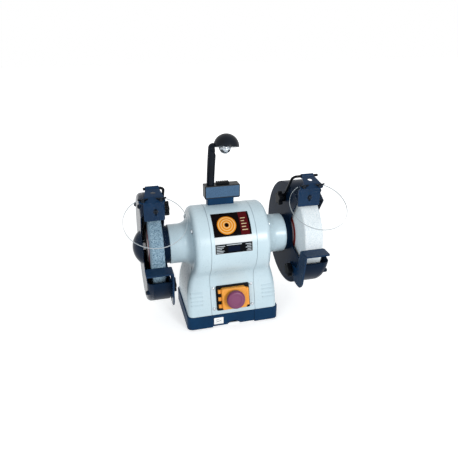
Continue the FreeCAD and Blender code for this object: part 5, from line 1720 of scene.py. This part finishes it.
@dataclass
class Lamp:
    """Work lamp: box, slide switch, moulded arm, shade and bulb; sizes in millimetres."""

    box_low: Point = (-43.5, 2.0, 273.0)
    box_high: Point = (32.5, 27.0, 300.0)
    shade_centre: Point = (5.5, 14.5, 379.0)
    shade_lining: Pair = (26.1, 25.8)
    arch_turn_deg: float = 30.0
    bulb_radius: float = 12.5
    bulb_forward: float = 9.5
    bulb_lean: Pair = (0.8, 0.6)            # run of the socket, backwards and up
    globe_rings: int = 18
    globe_ring_deg: float = 7.0
    globe_crease_deg: float = 60.0
    globe_steps: int = 48
    socket_radius: float = 7.0
    socket_start: float = 13.1
    socket_end: float = 28.5
    socket_steps: int = 40
    rib_first: float = 2.4
    rib_count: int = 4
    rib_pitch: float = 3.2

    def dress(self) -> None:
        """Gives the lamp's nodes their finishes."""
        dress(GrainedFace("grained_abs_blue_panel", "#446484", "#385673", "#080B10", self.box_low,
                          self.box_high), "lamp_box")
        dress(BLACK_MOULDING, "lamp_switch")
        dress(ARM_RUBBER, "lamp_arm")
        dress(LinedShade("stoved_enamel_shade", "#070C14", "#0D1622", "#F2F5F6", self.shade_centre,
                         self.shade_lining), "lamp_shade")

    def bulb_frame(self) -> Matrix:
        """Frame of the bulb: Z runs from the globe into its socket.

        Returns:
            Matrix in metres.
        """
        turn = math.radians(self.arch_turn_deg)
        forward = Vector((-math.sin(turn), -math.cos(turn), 0.0))
        middle = Vector(self.shade_centre) + forward * self.bulb_forward
        back, up = self.bulb_lean
        inward = (forward * -back + Vector((0.0, 0.0, up))).normalized()
        return Matrix.Translation(middle * MM) @ inward.to_track_quat("Z", "Y").to_matrix().to_4x4()

    def build_bulb(self) -> None:
        """Silvered globe with a drawn-in neck."""
        r, neck = self.bulb_radius, self.socket_radius
        profile = [(0.0, -r)]
        for ring in range(1, self.globe_rings + 1):
            angle = math.radians(-90 + ring * self.globe_ring_deg)
            profile.append((r * math.cos(angle), r * math.sin(angle)))
        profile += [(neck * 0.95, r * 0.82), (neck * 0.86, r * 1.1), (neck * 0.86, r * 1.5),
                    (0.0, r * 1.5)]
        globe = lathe(profile, self.globe_steps)
        globe.transform(self.bulb_frame())
        mesh = mesh_from(globe, "bulb_globe", self.globe_crease_deg)
        fit(new_object("bulb_globe", mesh, SILVERED), "lamp_head", "bulb_mirror", "lamp_bulb")

    def build_rib_tree(self) -> bpy.types.GeometryNodeTree:
        """Node tree that stacks ribs along a core.

        Returns:
            Tree with named inputs.
        """
        tree = new_group("stack_ribs", {"Core": "Geometry", "Rib": "Object", "Count": "Int",
                                        "Pitch": "Float", "First": "Float", "Finish": "Material"})
        given = add_node(tree, "NodeGroupInput").outputs
        first = add_node(tree, "ShaderNodeCombineXYZ", {2: given["First"]})
        step = add_node(tree, "ShaderNodeCombineXYZ", {2: given["Pitch"]})
        line = add_node(tree, "GeometryNodeMeshLine", {
            "Count": given["Count"], "Start Location": first, "Offset": step}, mode="OFFSET")
        rib = add_node(tree, "GeometryNodeObjectInfo", {"Object": given["Rib"]}).outputs["Geometry"]
        stack = add_node(tree, "GeometryNodeInstanceOnPoints", {"Points": line, "Instance": rib})
        both = add_node(tree, "GeometryNodeJoinGeometry", {0: stack})
        tree.links.new(given["Core"], both.inputs[0])
        end_group(tree, both, given["Finish"])
        return tree

    def build_socket(self) -> None:
        """Ribbed black socket behind the globe, its ribs repeated by nodes."""
        r, start, end = self.socket_radius, self.socket_start, self.socket_end
        core = [(0.0, start), (r - 0.9, start), (r - 0.5, start + 0.5), (r - 0.5, end - 0.6),
                (r - 1.2, end), (0.0, end)]
        ring = [(r - 0.7, -0.8), (r - 0.1, -0.7), (r, -0.3), (r, 0.3), (r - 0.1, 0.7),
                (r - 0.7, 0.8), (r - 0.7, -0.8)]
        rib, holder = (new_object(name, mesh_from(lathe(profile, self.socket_steps), name))
                       for name, profile in (("socket_rib", ring), ("socket_core", core)))
        mesh = run_group(self.build_rib_tree(), holder, {
            "Rib": rib, "Count": self.rib_count, "Pitch": self.rib_pitch * MM,
            "First": (start + self.rib_first) * MM, "Finish": BLACK_MOULDING.material()},
            "bulb_socket")
        mesh.transform(self.bulb_frame())
        discard(rib)
        fit(new_object("bulb_socket", mesh), "lamp_head", "lamp_black")


def seen_rays(tree: Tree) -> Node:
    """Value that is 1 for what the camera sees straight, mirrored or through glass.

    Args:
        tree: Node tree of the floor or the world.

    Returns:
        Value node.
    """
    path = add_node(tree, "ShaderNodeLightPath").outputs
    seen = add_node(tree, "ShaderNodeMath",
                    {0: path["Is Camera Ray"], 1: path["Is Transmission Ray"]}, operation="MAXIMUM")
    return add_node(tree, "ShaderNodeMath", {0: seen, 1: path["Is Glossy Ray"]},
                    operation="MAXIMUM")


@dataclass(frozen=True)
class StudioPaper(Finish):
    """Paper floor: dull, it keeps the object's shadow and shows paler the farther it lies."""

    name: str
    colour: str
    near_glow: float = 0.5
    far_glow: float = 0.85
    fade: Pair = (0.35, 1.4)

    def shade(self, tree: Tree) -> Node:
        """Dull paper with a glow that only the camera sees.

        Args:
            tree: Material's node tree.

        Returns:
            Shader node.
        """
        paper = add_node(tree, "ShaderNodeBsdfDiffuse", {"Color": linear(self.colour)})
        place = add_node(tree, "ShaderNodeTexCoord").outputs["Object"]
        away = add_node(tree, "ShaderNodeVectorMath", {0: place}, operation="LENGTH")
        level = add_node(tree, "ShaderNodeMapRange", {
            0: away, 1: self.fade[0], 2: self.fade[1], 3: self.near_glow, 4: self.far_glow})
        lift = add_node(tree, "ShaderNodeMath", {0: seen_rays(tree), 1: level},
                        operation="MULTIPLY")
        glow = add_node(tree, "ShaderNodeEmission", {"Strength": lift})
        return add_node(tree, "ShaderNodeAddShader", {0: paper, 1: glow})


@dataclass(frozen=True)
class SoftBox:
    """Square soft lamp: its place and aim in metres, its power in watts and its edge in metres."""

    name: str
    place: Point
    power: float
    edge: float = 0.5
    aim: Point = (0.0, 0.0, 0.2)

    def build(self) -> None:
        """Hangs the lamp and turns it to its aim."""
        light = bpy.data.lights.new(self.name, "AREA")
        light.energy = self.power
        light.shape = "SQUARE"
        light.size = self.edge
        lamp = new_object(self.name, light)
        lamp.location = self.place
        facing = Vector(self.aim) - Vector(self.place)
        lamp.rotation_euler = facing.to_track_quat("-Z", "Y").to_euler()


@dataclass
class Studio:
    """Pale floor, white surroundings, soft lamps and the camera; places in metres."""

    camera_place: Point = (-0.23514, -0.93418, 0.62602)
    camera_tilt_deg: float = 66.19
    camera_turn_deg: float = -14.56
    lens_mm: float = 38.11
    sensor_mm: float = 36.0
    view_depth: float = 50.0
    floor_size: float = 12.0
    world_light: float = 0.62
    lamps: tuple[SoftBox, ...] = (SoftBox("left_box", (-1.45, -1.75, 0.85), 8.0),
                                  SoftBox("right_box", (0.75, -2.0, 0.85), 20.0))

    def build_floor(self) -> None:
        """Pale floor that keeps the shadow."""
        half = self.floor_size / 2
        mesh = bpy.data.meshes.new("floor")
        mesh.from_pydata([(-half, -half, 0), (half, -half, 0), (half, half, 0), (-half, half, 0)],
                         [], [(0, 1, 2, 3)])
        new_object("floor", mesh, StudioPaper("studio_paper", "#EDEFF0"))

    def build_world(self) -> None:
        """White surroundings that light the object at a plain level."""
        world = bpy.data.worlds.new("studio")
        bpy.context.scene.world = world
        world.use_nodes = True
        tree = world.node_tree
        tree.nodes.clear()
        level = add_node(tree, "ShaderNodeMapRange",
                         {0: seen_rays(tree), 3: self.world_light, 4: 1.0})
        glow = add_node(tree, "ShaderNodeBackground",
                        {"Color": (1.0, 1.0, 1.0, 1.0), "Strength": level})
        add_node(tree, "ShaderNodeOutputWorld", {"Surface": glow})

    def build_camera(self) -> None:
        """Camera of the photograph."""
        data = bpy.data.cameras.new("camera")
        data.lens = self.lens_mm
        data.sensor_width = self.sensor_mm
        data.sensor_height = self.sensor_mm
        data.sensor_fit = "HORIZONTAL"
        data.clip_end = self.view_depth
        camera = new_object("camera", data)
        camera.location = self.camera_place
        camera.rotation_euler = (math.radians(self.camera_tilt_deg), 0.0,
                                 math.radians(self.camera_turn_deg))
        bpy.context.scene.camera = camera

    def build(self) -> None:
        """Sets up camera, floor, world, lamps and the plain view transform."""
        self.build_camera()
        self.build_floor()
        self.build_world()
        for lamp in self.lamps:
            lamp.build()
        bpy.context.scene.view_settings.view_transform = "Standard"


def main() -> None:
    """Builds every sub-assembly in order."""
    logging.basicConfig(level=logging.INFO, format="%(name)s: %(message)s")
    Studio().build()
    cross, wings = ScrewSet(Head.CROSS), ScrewSet(Head.WING)
    housing = Housing()
    housing.dress()
    housing.build_strip()
    housing.build_sticker()
    fit(cross.build("panel_screws", housing.screw_seats(), ZINC), "housing", "zinc_screws",
        "housing_screws")
    Rotor().dress()
    seats = []
    for station in (LEFT_STATION, RIGHT_STATION):
        station.dress()
        station.build_shield_screws(wings)
        seats += station.screw_seats()
    fit(cross.build("guard_screws", seats, BLACK_ZINC), "housing", "zinc_screws", "housing_screws")
    cross.close()
    wings.close()
    switch = Switch()
    switch.dress()
    switch.build_marks()
    lamp = Lamp()
    lamp.dress()
    lamp.build_bulb()
    lamp.build_socket()


if __name__ == "__main__":
    main()
